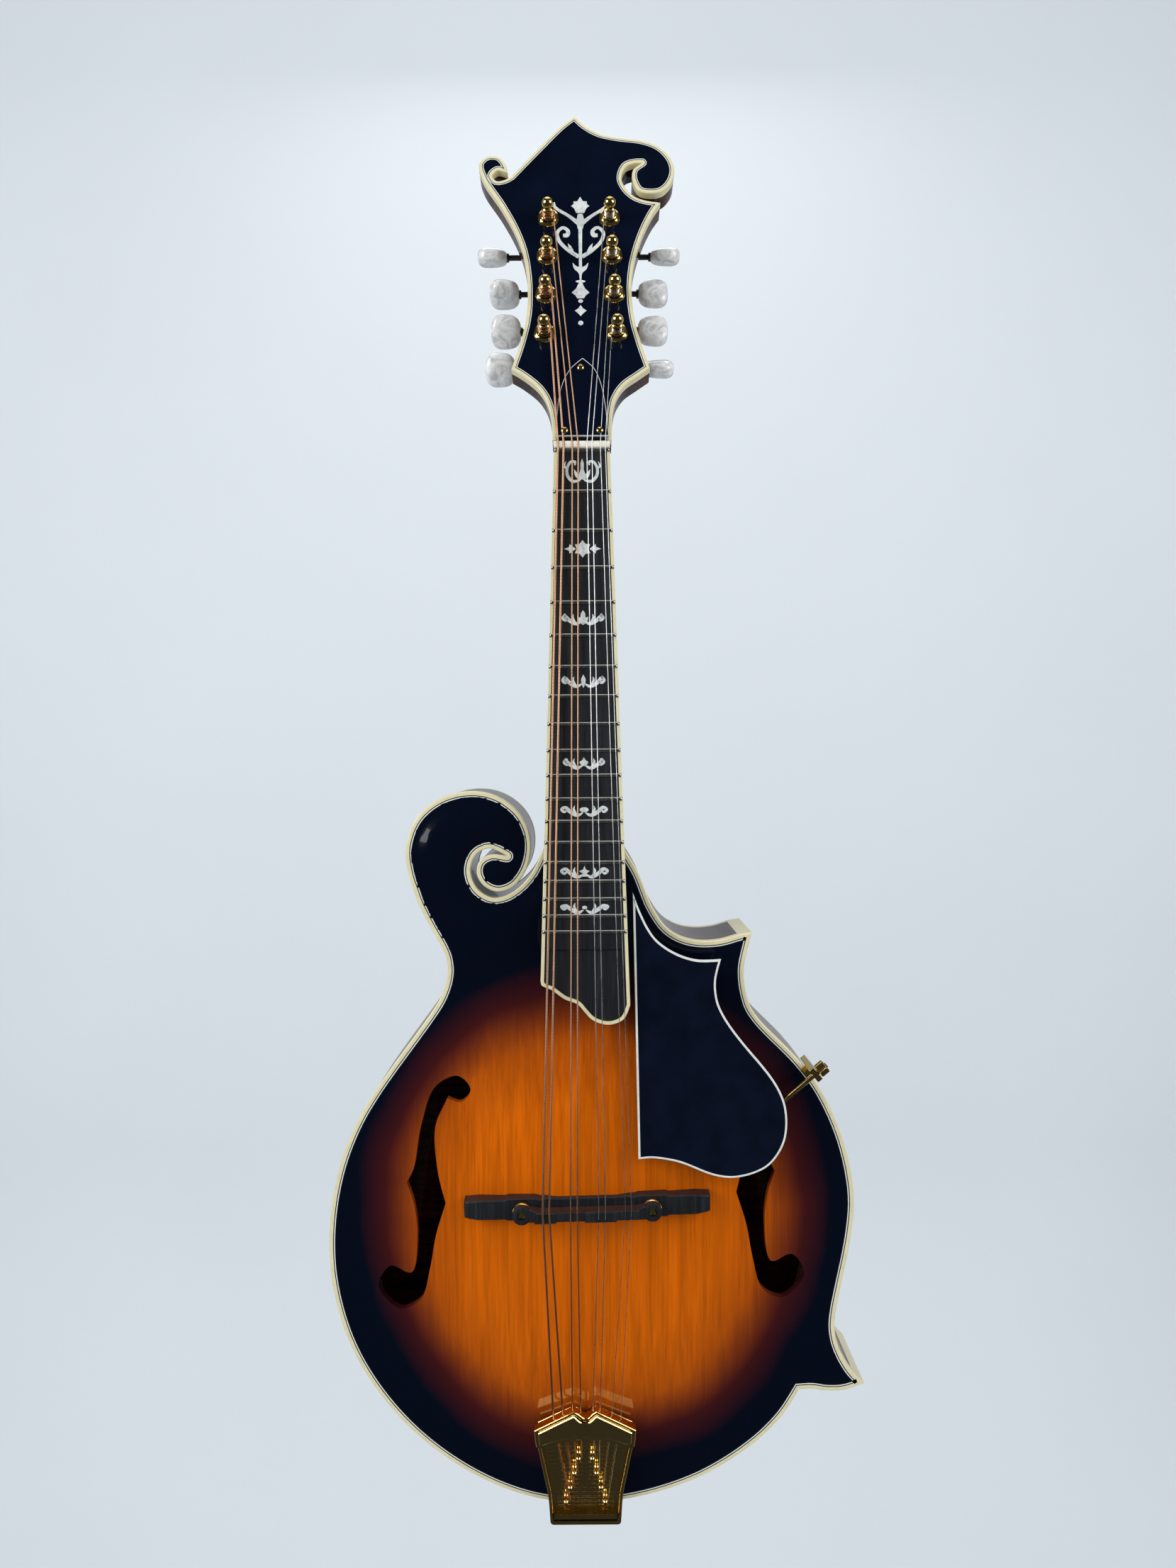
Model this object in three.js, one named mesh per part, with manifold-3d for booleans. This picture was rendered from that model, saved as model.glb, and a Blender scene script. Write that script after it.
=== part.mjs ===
// A two-point, scroll-bodied mandolin: carved plates on bent ribs, a neck with a truss rod, worm-geared tuners,
// a bridge on two thumbwheels and a cast tailpiece.
// Millimetres. +X is the treble side, +Z runs up the neck, -Y is the front. The plane y = 0 is the front edge of
// the body and z = 0 is the zero fret, from which the scale length and every fret are counted.

import * as THREE from 'three';
import { mergeVertices } from 'three/addons/utils/BufferGeometryUtils.js';
import Module from 'manifold-3d';

const wasm = await Module();
wasm.setup();

// ---- Driving dimensions -------------------------------------------------------------------------

const GAP = 0.3; // clearance between neighbouring pieces

const NECK_TILT = 3.6; // degrees that the neck leans back from the body's front edge plane
const HEAD_TILT = 10; // further degrees that the headstock leans back
const BOARD_FRONT = -1.8; // y of the fretboard's face at the zero fret
const HEAD_ORIGIN = [0, 0.62, 6.05]; // foot of the headstock's face, in the neck's frame

const RIB_HEIGHT = 46.7; // front edge to back edge
const RIB_THICKNESS = 2.2;
const BINDING_WIDTH = 2.0;
const BINDING_HEIGHT = 4.4;
const PLATE_THICKNESS = 4.2;
const LINING_WIDTH = 5;
const LINING_HEIGHT = 7;
const FRONT_ARCH = 13;
const BACK_ARCH = 12;
const ARCH_CENTRE = [2, -375];
const ARCH_REACH = [116, 140]; // half-width and half-length of the carved dome

const JOINT_Z = -190.5; // where the neck's heel meets the ribs
const TENON = { halfWidth: 9, front: 5, back: 40, length: 12 };
const BOARD_THICKNESS = 5;
const BOARD_HALF_WIDTH = 13.5; // at the zero fret
const BOARD_FLARE = 0.0284; // half-width gained for each millimetre towards the body
const BOARD_BINDING = 1.6;
const SCOOP_START = 236; // the last stretch of the extension is cut lower
const SCOOP_DEPTH = 1.2;
const NECK_THICKNESS = 15; // of the wood under the fretboard, at the nut

const HEAD_BINDING_WIDTH = 1.7;
const HEAD_BINDING_DEPTH = 4;
const OVERLAY_THICKNESS = 1.7;
const HEAD_THICKNESS = 13.5;

const TUNER_ROWS = 4;
const TUNER_PITCH = 21.5; // row to row, up the headstock
const TUNER_FIRST_ROW = 56.1; // height of the lowest row on the headstock's face
const TUNER_SIDES = [
  { name: 'bass', side: -1, foot: -17.8, lean: 0.025, reach: [30.5, 28.5, 30, 37] },
  { name: 'treble', side: 1, foot: 17.3, lean: -0.046, reach: [29, 27.5, 29, 36.5] },
];
const POST_RADIUS = 3;
const POST_HOLE_RADIUS = 3.5;
const POST_STAND = 8; // the ball's neck stands this far in front of the face
const WORM_DROP = 6.3; // worm axis below the post axis
const WORM_BEHIND = 7.4; // worm axis behind the back of the headstock
const WORM_RADIUS = 1.9;
const GEAR_RADIUS = 4.1;
const GEAR_TEETH = 15;
const SHAFT_RADIUS = 1.4;
const TUNER_PLATE_THICKNESS = 1.6;
const BUTTON = [7.6, 4.3, 8.3]; // half length along the shaft, half thickness, half width
// How far each button is turned from lying level, in degrees, the lowest row first.
const BUTTON_TURNS = { bass: [57, 54, 12, -27], treble: [39, 83, 77, 33] };

const BRIDGE_CENTRE = [0.4, -357];
const BRIDGE_SLANT = 1.3; // degrees, treble end nearer the neck
const BRIDGE_LENGTH = 116;
const BRIDGE_TOP = -18; // y of the base's flat top
const SADDLE_BACK = -22.1;
const SADDLE_FRONT = -28.2;
const SADDLE_LENGTH = 71;
const WHEEL_SPACING = 60.6;
const WHEEL_RADIUS = 4.5;
const BRIDGE_POST_RADIUS = 1.7;
const BRIDGE_POST_HOLE = 2.05;

const TAIL_X = -1.2; // centreline of the tailpiece
const STRING_RADII = [0.5, 0.5, 0.33, 0.33, 0.2, 0.2, 0.14, 0.14];
const STRING_AT_NUT = [-11.3, -8.6, -4.5, -1.7, 2.4, 4.8, 8.8, 11.1];
const STRING_AT_SADDLE = [-20.4, -17.4, -7.6, -4.5, 5.4, 8.5, 17.6, 20.4];
const STRING_AT_HOOD = [-16.2, -11.6, -7.2, -3.2, 2.4, 5.8, 11.4, 15.8];
const STRING_CLEARANCE = -2.6; // string centres in front of the fretboard's face at the nut

const X = new THREE.Vector3(1, 0, 0);
const Y = new THREE.Vector3(0, 1, 0);
const Z = new THREE.Vector3(0, 0, 1);
const rad = THREE.MathUtils.degToRad;
const BASE_EAR = 5.2; // radius of the bridge base's round ends
const SADDLE_LOBE = 4.4; // radius of the saddle's round ends
const CROWN_HALF = 24.5; // half the length of the saddle's crown
const WHEEL_THICKNESS = 2.1;
const BUSH_RADIUS = 2.3; // collar under a tuner button
const TAIL_TOP = -457; // upper end of the tailpiece
const TAIL_BACK = -8.7; // y of its underside there
const TAIL_SLOPE = 0.131;
const TAIL_WALL = 1.7;
const PEG_FIRST = [3.3, -480.7]; // the innermost peg, across from the tailpiece's middle and up
const PEG_PITCH = [2.05, 7.7];
const PEG_RADIUS = 1.1;
const PEG_HEIGHT = 5;
const GUARD_FRONT = 3.4;
const GUARD_THICKNESS = 2.2;
const CLAMP_PLACE = [107.6, -298.2]; // where the pickguard's clamp grips the body
const CLAMP_INWARDS = [-0.77, -0.64];
const CLAMP_ROD_RADIUS = 1.3;
const CLAMP_ROD_Y = -9.4;
const CLAMP_NUT_RADIUS = 3.3;

// ---- Finishes -----------------------------------------------------------------------------------

function finish(color, roughness, metalness = 0) {
  return new THREE.MeshStandardMaterial({ color, roughness, metalness });
}

const finishes = {
  sunburst: finish(0xb65a14, 0.15),
  darkLacquer: finish(0x2a120c, 0.15),
  blackLacquer: finish(0x07090d, 0.12),
  spruce: finish(0xd8b888, 0.7),
  maple: finish(0xc9a070, 0.7),
  ivoroid: finish(0xe9dfb8, 0.35),
  ebony: finish(0x17151a, 0.45),
  bone: finish(0xefe9da, 0.4),
  gold: finish(0xd9a441, 0.22, 1),
  brass: finish(0xc9a24a, 0.3, 1),
  steel: finish(0xb4b6ba, 0.35, 1),
  bronze: finish(0xc98a55, 0.35, 1),
  pearl: finish(0xe6e8ea, 0.25),
};

// ---- Shape helpers ------------------------------------------------------------------------------

function smooth(points, stepsPerSpan = 2) {
  const knots = points.map(([u, v]) => new THREE.Vector3(u, v, 0));
  const curve = new THREE.CatmullRomCurve3(knots, false, 'centripetal');
  return curve.getPoints((points.length - 1) * stepsPerSpan).map((p) => new THREE.Vector2(p.x, p.y));
}

// Joins runs that meet end to end, so that the corners between them stay sharp.
function chain(...runs) {
  const points = runs.flatMap((run) => run.slice(0, -1));
  const last = runs.at(-1).at(-1);
  if (last.distanceTo(points[0]) > 0.01) points.push(last);
  return THREE.ShapeUtils.isClockWise(points) ? points.reverse() : points;
}

function distanceTo(outline, point) {
  let nearest = Infinity;
  outline.forEach((start, i) => {
    const along = outline[(i + 1) % outline.length].clone().sub(start);
    const t = THREE.MathUtils.clamp(point.clone().sub(start).dot(along) / along.lengthSq(), 0, 1);
    nearest = Math.min(nearest, start.clone().addScaledVector(along, t).distanceTo(point));
  });
  return nearest;
}

// The outline moved inwards by a distance. Corners stay sharp, and loops left by tight curves are dropped.
function inset(outline, distance) {
  const moved = outline.flatMap((point, i) => {
    const before = point.clone().sub(outline.at(i - 1)).normalize();
    const after = outline[(i + 1) % outline.length].clone().sub(point).normalize();
    const normals = [before, after].map((d) => new THREE.Vector2(-d.y, d.x).multiplyScalar(distance));
    const miter = normals[0].clone().add(normals[1]);
    miter.multiplyScalar((2 * distance * distance) / Math.max(miter.lengthSq(), 1e-6));
    const turnsIn = before.cross(after) < -0.3;
    return turnsIn ? normals.map((n) => point.clone().add(n)) : [point.clone().add(miter)];
  });
  return moved.filter((point) => distanceTo(outline, point) > distance - 0.03);
}

// A solid of a front-view outline in (x, z), from one depth to another.
function plank(outline, front, back, hole) {
  const shape = new THREE.Shape(outline);
  if (hole) shape.holes.push(new THREE.Path(hole));
  const solid = new THREE.ExtrudeGeometry(shape, { depth: back - front, bevelEnabled: false });
  return solid.rotateX(Math.PI / 2).translate(0, back, 0);
}

// A solid of a side-view profile in (y, z), across from left to right.
function slab(profile, left, right) {
  const shape = new THREE.Shape(profile.map(([y, z]) => new THREE.Vector2(y, z)));
  const solid = new THREE.ExtrudeGeometry(shape, { depth: right - left, bevelEnabled: false });
  return solid.applyMatrix4(new THREE.Matrix4().makeBasis(Y, Z, X)).translate(left, 0, 0);
}

// A solid of an end-view profile in (x, y), from a low z to a high z.
function bar(profile, low, high) {
  const shape = new THREE.Shape(profile.map(([x, y]) => new THREE.Vector2(x, y)));
  return new THREE.ExtrudeGeometry(shape, { depth: high - low, bevelEnabled: false }).translate(0, 0, low);
}

function block(x, y, z) {
  const solid = new THREE.BoxGeometry(x[1] - x[0], y[1] - y[0], z[1] - z[0]);
  return solid.translate((x[0] + x[1]) / 2, (y[0] + y[1]) / 2, (z[0] + z[1]) / 2);
}

// A turned piece on the Y axis: the profile lists radius and y, from the front end of the axis to the back end.
function turned(profile, sides = 16) {
  return new THREE.LatheGeometry(profile.map(([radius, y]) => new THREE.Vector2(radius, y)), sides);
}

function rod(radius, front, back, sides = 16) {
  return turned([[0, front], [radius, front], [radius, back], [0, back]], sides);
}

function toSolid(geometry) {
  const bare = geometry.clone();
  bare.deleteAttribute('normal');
  bare.deleteAttribute('uv');
  const merged = mergeVertices(bare, 1e-4);
  const mesh = new wasm.Mesh({
    numProp: 3,
    vertProperties: new Float32Array(merged.attributes.position.array),
    triVerts: new Uint32Array(merged.index.array),
  });
  return new wasm.Manifold(mesh);
}

function toGeometry(solid) {
  const mesh = solid.getMesh();
  const geometry = new THREE.BufferGeometry();
  geometry.setAttribute('position', new THREE.BufferAttribute(new Float32Array(mesh.vertProperties), 3));
  geometry.setIndex(new THREE.BufferAttribute(new Uint32Array(mesh.triVerts), 1));
  return geometry;
}

function join(...parts) {
  return toGeometry(parts.map(toSolid).reduce((all, part) => all.add(part)));
}

function cut(stock, ...tools) {
  return toGeometry(tools.map(toSolid).reduce((left, tool) => left.subtract(tool), toSolid(stock)));
}

function common(...parts) {
  return toGeometry(parts.map(toSolid).reduce((all, part) => all.intersect(part)));
}

function piece(name, geometry, material) {
  const mesh = new THREE.Mesh(geometry, material);
  mesh.name = name;
  return mesh;
}

// ---- Frames -------------------------------------------------------------------------------------

const model = new THREE.Group();
const neckFrame = new THREE.Group();
neckFrame.position.set(0, BOARD_FRONT, 0);
neckFrame.rotation.x = -rad(NECK_TILT);
model.add(neckFrame);
const headFrame = new THREE.Group();
headFrame.position.set(...HEAD_ORIGIN);
headFrame.rotation.x = -rad(HEAD_TILT);
neckFrame.add(headFrame);
model.updateMatrixWorld(true);

const bodyToNeck = neckFrame.matrixWorld.clone().invert();
const headToNeck = headFrame.matrix;

// ---- Body outline -------------------------------------------------------------------------------

const scrollGap = smooth([
  [-20, JOINT_Z], [-26, -202.1], [-34.3, -210.3], [-43.5, -213.4], [-51.7, -208.9], [-55, -200.4],
  [-52.3, -192.5], [-45.7, -189.4], [-37.2, -193.2],
]);
const scroll = smooth([
  [-37.2, -193.2], [-45.1, -192.3], [-50.6, -195.6], [-51.9, -201.4], [-48.9, -207.2], [-42.5, -210.3],
  [-35.3, -208.6], [-29.4, -202.4], [-26.1, -193.5], [-26.2, -182.9], [-30.2, -173.7], [-38.3, -166.2],
  [-48.2, -162.3], [-60.1, -162.3], [-71.7, -166.6], [-81.3, -175.5], [-86.1, -189.1], [-85, -201.1],
], 1);
const bassSide = smooth([
  [-85, -201.1], [-80.1, -216.1], [-73.1, -229.9], [-67.6, -240.5], [-66.4, -250], [-70.3, -262.2],
  [-80.7, -277.3], [-95.3, -297.3], [-109.3, -318.8], [-119.2, -342.4], [-124.6, -370.2], [-124.3, -398],
  [-116.8, -427.8], [-103.2, -453], [-82.7, -476.5], [-56.9, -495.2], [-29.3, -506.8], [-3.1, -510.3],
  [24.5, -507.5], [55.6, -497.3], [81.7, -480.7], [95.7, -466.5], [103.2, -454.7],
]);
const lowerPoint = smooth(
  [[103.2, -454.7], [109.4, -454.4], [116.3, -455.4], [125, -455.1], [135, -451.9]],
  1,
);
const trebleSide = smooth([
  [135, -451.9], [128.4, -444.9], [122.2, -433], [120.5, -422.5], [122.9, -406.8], [127.3, -385.8],
  [129.9, -365], [128.7, -349.3], [123.2, -327.8], [112.9, -306], [100.9, -290.4], [87.2, -276.6],
  [79.7, -266.3], [76.7, -250.8], [77.8, -242.2], [80.8, -230.8],
]);
const upperPoint = smooth([
  [80.8, -230.8], [75.3, -231.6], [65.1, -234.3], [54.8, -234.7], [46.3, -232.6], [39.4, -228.1],
  [32.7, -218.2], [25.9, -201.4], [19.5, JOINT_Z],
], 1);
const bodyOutline = chain(scrollGap, scroll, bassSide, lowerPoint, trebleSide, upperPoint);
const ribInside = inset(bodyOutline, RIB_THICKNESS);
const blockEdge = inset(bodyOutline, RIB_THICKNESS + GAP);
const plateEdge = inset(bodyOutline, BINDING_WIDTH + GAP);

// The linings follow the ribs of the sound chamber only, past the scroll and the points.
const chamber = chain(
  smooth([
    [-15, -226], [-40, -229], [-57, -238], [-62, -250], [-66, -262], [-76, -277.5], [-91, -299], [-105, -321],
    [-114.5, -344], [-119.5, -371], [-119.2, -397], [-112, -425.5], [-99, -449.5], [-79.5, -472], [-55, -489.8],
    [-28, -501], [-3, -504.5], [23, -501.8], [53, -492], [78, -476], [94, -459], [106, -441], [114, -423],
    [120, -398], [124, -366], [123, -350], [117.5, -329], [107.5, -308.5], [95.5, -293], [80, -276], [70, -258],
    [55, -243], [35, -234], [10, -226], [-15, -226],
  ], 1),
);

// Height of the carved dome: flat on top, falling in an S to nothing at its rim.
function dome(x, z) {
  const out = Math.hypot((x - ARCH_CENTRE[0]) / ARCH_REACH[0], (z - ARCH_CENTRE[1]) / ARCH_REACH[1]);
  return Math.cos((Math.PI / 2) * Math.min(out, 1) ** 1.5) ** 2;
}

// A plate of even thickness carved to the dome, bulging forwards (-1) or backwards (1).
function carvedPlate(front, rise, direction) {
  const size = [280, 360];
  const centre = [5, -335];
  const sheet = new THREE.BoxGeometry(size[0], PLATE_THICKNESS, size[1], 16, 1, 20);
  sheet.translate(centre[0], front + PLATE_THICKNESS / 2, centre[1]);
  const position = sheet.attributes.position;
  for (let i = 0; i < position.count; i += 1) {
    position.setY(i, position.getY(i) + direction * rise * dome(position.getX(i), position.getZ(i)));
  }
  return common(sheet, plank(plateEdge, front - 30, front + 30));
}

// ---- Sound holes, drawn for the bass side -------------------------------------------------------

const soundHole = chain(
  smooth([[-66.6, -309.3], [-60, -311], [-55.2, -304.8], [-61.3, -298.7], [-72.5, -304.1], [-79.5, -323],
    [-83.2, -343.5],
    [-86.6, -350.4]]),
  smooth([[-86.6, -350.4], [-83, -361], [-81.5, -376.2], [-84.7, -394.1], [-95, -391.6], [-101.1, -402],
    [-90.7, -412.7],
    [-80.3, -407.2], [-75.5, -391.7], [-72.2, -374.5], [-67.4, -359]]),
  smooth([[-67.4, -359], [-71.3, -343.5], [-72.4, -323], [-66.6, -309.3]]),
);
const TREBLE_HOLE_SHIFT = [4.4, 4.6]; // the treble hole mirrors the bass one, this much across and higher

function soundHoleCutter(side) {
  const outline = soundHole.map((p) => (side < 0 ? p : new THREE.Vector2(
    TREBLE_HOLE_SHIFT[0] - p.x,
    TREBLE_HOLE_SHIFT[1] + p.y,
  )));
  return plank(outline, -30, 30);
}

// ---- Body ---------------------------------------------------------------------------------------

const backFront = RIB_HEIGHT - PLATE_THICKNESS;
const ribFront = PLATE_THICKNESS + GAP;
const ribBack = backFront - GAP;

// The neck's tenon, or the slightly larger mortise that it slides into.
function tenonBlock(clearance, front) {
  const half = TENON.halfWidth + clearance;
  const low = JOINT_Z - TENON.length - clearance;
  return block([-half, half], [front, TENON.back + clearance], [low, JOINT_Z + 2]);
}

const mortise = () => tenonBlock(GAP, 0);

function buildBody() {
  const topPlate = cut(carvedPlate(0, FRONT_ARCH, -1), soundHoleCutter(-1), soundHoleCutter(1));
  model.add(piece('top_plate', topPlate, finishes.sunburst));
  model.add(piece('back_plate', carvedPlate(backFront, BACK_ARCH, 1), finishes.darkLacquer));

  const bindingInside = inset(bodyOutline, BINDING_WIDTH);
  const rib = plank(bodyOutline, BINDING_HEIGHT + GAP, RIB_HEIGHT - BINDING_HEIGHT - GAP, ribInside);
  model.add(piece('rim', cut(rib, mortise()), finishes.darkLacquer));
  const binding = (front) => plank(bodyOutline, front, front + BINDING_HEIGHT, bindingInside);
  model.add(piece('top_binding', binding(0), finishes.ivoroid));
  model.add(piece('back_binding', binding(RIB_HEIGHT - BINDING_HEIGHT), finishes.ivoroid));

  const liningInside = inset(chamber, LINING_WIDTH);
  const lining = (front) => plank(chamber, front, front + LINING_HEIGHT, liningInside);
  model.add(piece('top_lining', lining(ribFront), finishes.spruce));
  model.add(piece('back_lining', lining(ribBack - LINING_HEIGHT), finishes.spruce));
}

// ---- Blocks and bars inside the body ------------------------------------------------------------

// A block that fills the ribs within a region, rebated where the linings pass over it.
function cornerBlock(region) {
  const front = ribFront;
  const back = ribBack;
  const stock = common(plank(blockEdge, front, back), region);
  const rebate = (from) => plank(chamber, from, from + LINING_HEIGHT + 2 * GAP);
  return cut(stock, rebate(front - GAP), rebate(back - LINING_HEIGHT - GAP));
}

function buildBlocks() {
  const depth = [0, RIB_HEIGHT];
  const scrollAndNeck = block([-95, 60], depth, [-222, -150]);
  model.add(piece('neck_block', cut(cornerBlock(scrollAndNeck), mortise()), finishes.maple));
  model.add(piece('tail_block', cornerBlock(block([-28, 24], depth, [-520, -494])), finishes.maple));
  model.add(piece('point_block_upper', cornerBlock(block([62, 95], depth, [-256, -225])), finishes.maple));
  model.add(piece('point_block_lower', cornerBlock(block([104, 140], depth, [-460, -430])), finishes.maple));

  [['bass', -24, 0.06], ['treble', 27, -0.04]].forEach(([name, offset, slant]) => {
    const ends = [-480, -265];
    const steps = 12;
    const profile = [];
    for (let i = 0; i <= steps; i += 1) {
      const z = THREE.MathUtils.lerp(ends[0], ends[1], i / steps);
      const under = PLATE_THICKNESS + GAP - FRONT_ARCH * Math.min(dome(offset - 7, z), dome(offset + 7, z));
      profile.push([under, z]);
    }
    const inner = profile.map(([y, z], i) => [y + 3 + 9 * Math.sin((Math.PI * i) / steps), z]).reverse();
    const tone = slab([...profile, ...inner], -3, 3);
    tone.translate(0, 0, 375).rotateY(slant).translate(offset, 0, -375);
    model.add(piece(`tone_bar_${name}`, tone, finishes.spruce));
  });
}

// ---- Neck and truss rod -------------------------------------------------------------------------

const ROD_DEPTH = 9.6; // truss rod axis behind the fretboard's face, in the neck's frame
const ROD_LOW = -168;
const HEEL_CAP_FRONT = 45.2;
const boardHalfWidth = (down) => BOARD_HALF_WIDTH + BOARD_FLARE * Math.max(down, 0);

// Depth of the neck's wood at a distance down from the zero fret: a slow taper, then the sweep of the heel.
function neckDepth(down) {
  const taper = NECK_THICKNESS + 0.016 * Math.max(down, 0);
  const intoHead = THREE.MathUtils.clamp(-down / 18, 0, 1);
  const heel = THREE.MathUtils.clamp((down - 146) / 44, 0, 1);
  return taper * (1 - 0.45 * intoHead ** 1.3) + 51 * heel ** 2.6;
}

function neckShaft() {
  const stations = [-18, -11, -4, 6, 30, 75, 120, 146, 158, 168, 176, 183, 189, 196];
  const section = new THREE.Shape();
  section.absellipse(0, 0, 1, 1, 0, Math.PI);
  const steps = stations.length - 1;
  const extrusion = { depth: steps, steps, bevelEnabled: false, curveSegments: 12 };
  const shaft = new THREE.ExtrudeGeometry(section, extrusion);
  const position = shaft.attributes.position;
  for (let i = 0; i < position.count; i += 1) {
    const down = stations[steps - Math.round(position.getZ(i))];
    const intoHead = Math.max(-down - 4, 0);
    const halfWidth = boardHalfWidth(down) - 0.1 - intoHead * 0.1;
    const front = BOARD_THICKNESS + GAP + intoHead * 0.2;
    position.setX(i, position.getX(i) * halfWidth);
    position.setY(i, front + position.getY(i) * neckDepth(down));
    position.setZ(i, -down);
  }
  return shaft;
}

function buildNeck() {
  const core = join(
    plank(headOutline, HEAD_BINDING_DEPTH + GAP, HEAD_THICKNESS),
    plank(inset(headOutline, HEAD_BINDING_WIDTH + GAP), OVERLAY_THICKNESS + GAP, HEAD_BINDING_DEPTH + 1),
  ).applyMatrix4(headToNeck);
  const inBody = (solid) => solid.applyMatrix4(bodyToNeck);
  const beyondJoint = inBody(block([-60, 60], [-60, 120], [JOINT_Z - 60, JOINT_Z + GAP]));
  const capSeat = inBody(block([-30, 30], [HEEL_CAP_FRONT - GAP, 120], [JOINT_Z - 60, JOINT_Z + 60]));
  const tenon = inBody(tenonBlock(0, TENON.front));
  const riserFront = (z) => BOARD_FRONT + z * Math.tan(rad(NECK_TILT)) + BOARD_THICKNESS + GAP;
  const riserTop = JOINT_Z + 1;
  const riserEnd = -236;
  const riser = inBody(slab([
    [riserFront(riserTop), riserTop], [-GAP, riserTop], [-GAP, riserEnd], [riserFront(riserEnd), riserEnd],
  ], -16, 16));
  const channel = block([-3, 3], [0, ROD_DEPTH + 2.8], [ROD_LOW - 2, 20]);
  const pocket = block([-4.8, 4.8], [-5, ROD_DEPTH + 4.4], [5.2, 23]);
  const holes = tunerAxes.map(({ x, v }) => (
    rod(POST_HOLE_RADIUS, -5, 20, 10).translate(x, 0, v).applyMatrix4(headToNeck)
  ));
  const shaft = cut(neckShaft(), beyondJoint, capSeat);
  const neck = cut(join(shaft, core, tenon, riser), channel, pocket, ...holes);
  neckFrame.add(piece('neck', neck, finishes.darkLacquer));

  const capPlan = new THREE.Shape();
  capPlan.absellipse(0, JOINT_Z + GAP, 8.5, 8, 0, Math.PI);
  model.add(piece('heel_cap', plank(capPlan.getPoints(8), HEEL_CAP_FRONT, RIB_HEIGHT + 0.3), finishes.ivoroid));

  const trussRod = rod(2.4, 0, 8.2 - ROD_LOW, 12).rotateX(-Math.PI / 2).translate(0, ROD_DEPTH, 8.2);
  neckFrame.add(piece('truss_rod', trussRod, finishes.steel));
  const nut = turned([[0, -8], [3.4, -8], [3.8, -7], [3.8, 4], [2.8, 4], [2.8, -3], [0, -3]], 6);
  nut.rotateX(-Math.PI / 2).translate(0, ROD_DEPTH, 11.4);
  neckFrame.add(piece('truss_rod_nut', nut, finishes.brass));
}

// ---- Fretboard and nut --------------------------------------------------------------------------

const boardEnd = smooth([
  [-20.6, -248], [-20.4, -252.5], [-15.8, -254.7], [-9.3, -259.3], [-3.4, -261.6], [2.9, -268.5], [10.8, -271.1],
  [18.1, -268.5], [21.1, -262],
]);
const boardOutline = chain(
  [new THREE.Vector2(-boardHalfWidth(0), -0.6), boardEnd[0]],
  boardEnd,
  [boardEnd.at(-1), new THREE.Vector2(boardHalfWidth(0), -0.6)],
);

function buildFretboard() {
  const scoop = (reach) => block([-30, 30], [-1, reach], [-280, -SCOOP_START]);
  const board = plank(inset(boardOutline, BOARD_BINDING + GAP), 0, BOARD_THICKNESS);
  neckFrame.add(piece('fretboard', cut(board, scoop(SCOOP_DEPTH)), finishes.ebony));
  const edge = plank(boardOutline, 0, BOARD_THICKNESS, inset(boardOutline, BOARD_BINDING));
  const nutEnd = block([-9.5, 9.5], [-1, BOARD_THICKNESS + 1], [-4, 1]);
  neckFrame.add(piece('fretboard_binding', cut(edge, nutEnd, scoop(0.4)), finishes.ivoroid));
  const nut = block([-13.4, 13.4], [-1.6, BOARD_THICKNESS], [0.9, 4.2]);
  neckFrame.add(piece('nut', nut, finishes.bone));
}

// ---- Headstock ----------------------------------------------------------------------------------

const headOutline = chain(
  smooth(
    [[-14, -1], [-14.2, 6.6], [-15.2, 14.1], [-17.6, 21.3], [-21.3, 26.9], [-29.1, 33.7], [-33.9, 36.8]],
    1,
  ),
  smooth([
    [-33.9, 36.8], [-29.4, 52.1], [-26.8, 65], [-26.2, 79.5], [-28.3, 99.3], [-32.8, 113.4], [-39.8, 127.7],
    [-49.4, 144.2], [-51.2, 152.5], [-47.2, 156.9], [-41.4, 156.7], [-37.8, 152.3], [-36.6, 147.1],
  ], 1),
  smooth([[-36.6, 147.1], [-41.7, 148.5], [-44.4, 145.6], [-42.3, 142.5], [-38.3, 143.1], [-35.1, 145]], 1),
  smooth([[-35.1, 145], [-22.4, 160.2], [-10, 174.5], [-2.9, 180.8]], 1),
  smooth([
    [-2.9, 180.8], [2.2, 175.2], [8.9, 170.6], [17.9, 168], [31.2, 165.9], [39.5, 162.3], [45.4, 155.6],
    [47.4, 148.3], [45.7, 141.3], [41, 135.9], [35, 134.7], [29.3, 136.3], [26.1, 143.3], [26.7, 148.7],
    [31, 152.5],
  ], 1),
  smooth([[31, 152.5], [27.4, 152.3], [23.1, 150.6], [20.7, 143.8], [22.4, 138.4], [26.4, 133.6], [31.4, 131],
    [40, 129.3]], 1),
  smooth(
    [[40, 129.3], [36, 123], [30.9, 111.4], [26.4, 95.3], [24.9, 79.5], [26.1, 63.8], [29.3, 50], [33.2, 37]],
    1,
  ),
  smooth([[33.2, 37], [27.3, 32.6], [20.5, 27.3], [16.6, 20.9], [15, 14.1], [14.5, 6.6], [14.2, -1]], 1),
);

const tunerAxes = TUNER_SIDES.flatMap(({ name, side, foot, lean, reach }) => (
  Array.from({ length: TUNER_ROWS }, (_, row) => ({
    name: `${name}_${row + 1}`,
    side,
    x: foot + lean * row * TUNER_PITCH,
    v: TUNER_FIRST_ROW + row * TUNER_PITCH,
    reach: reach[row],
    turn: BUTTON_TURNS[name][row],
  }))
));

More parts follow.
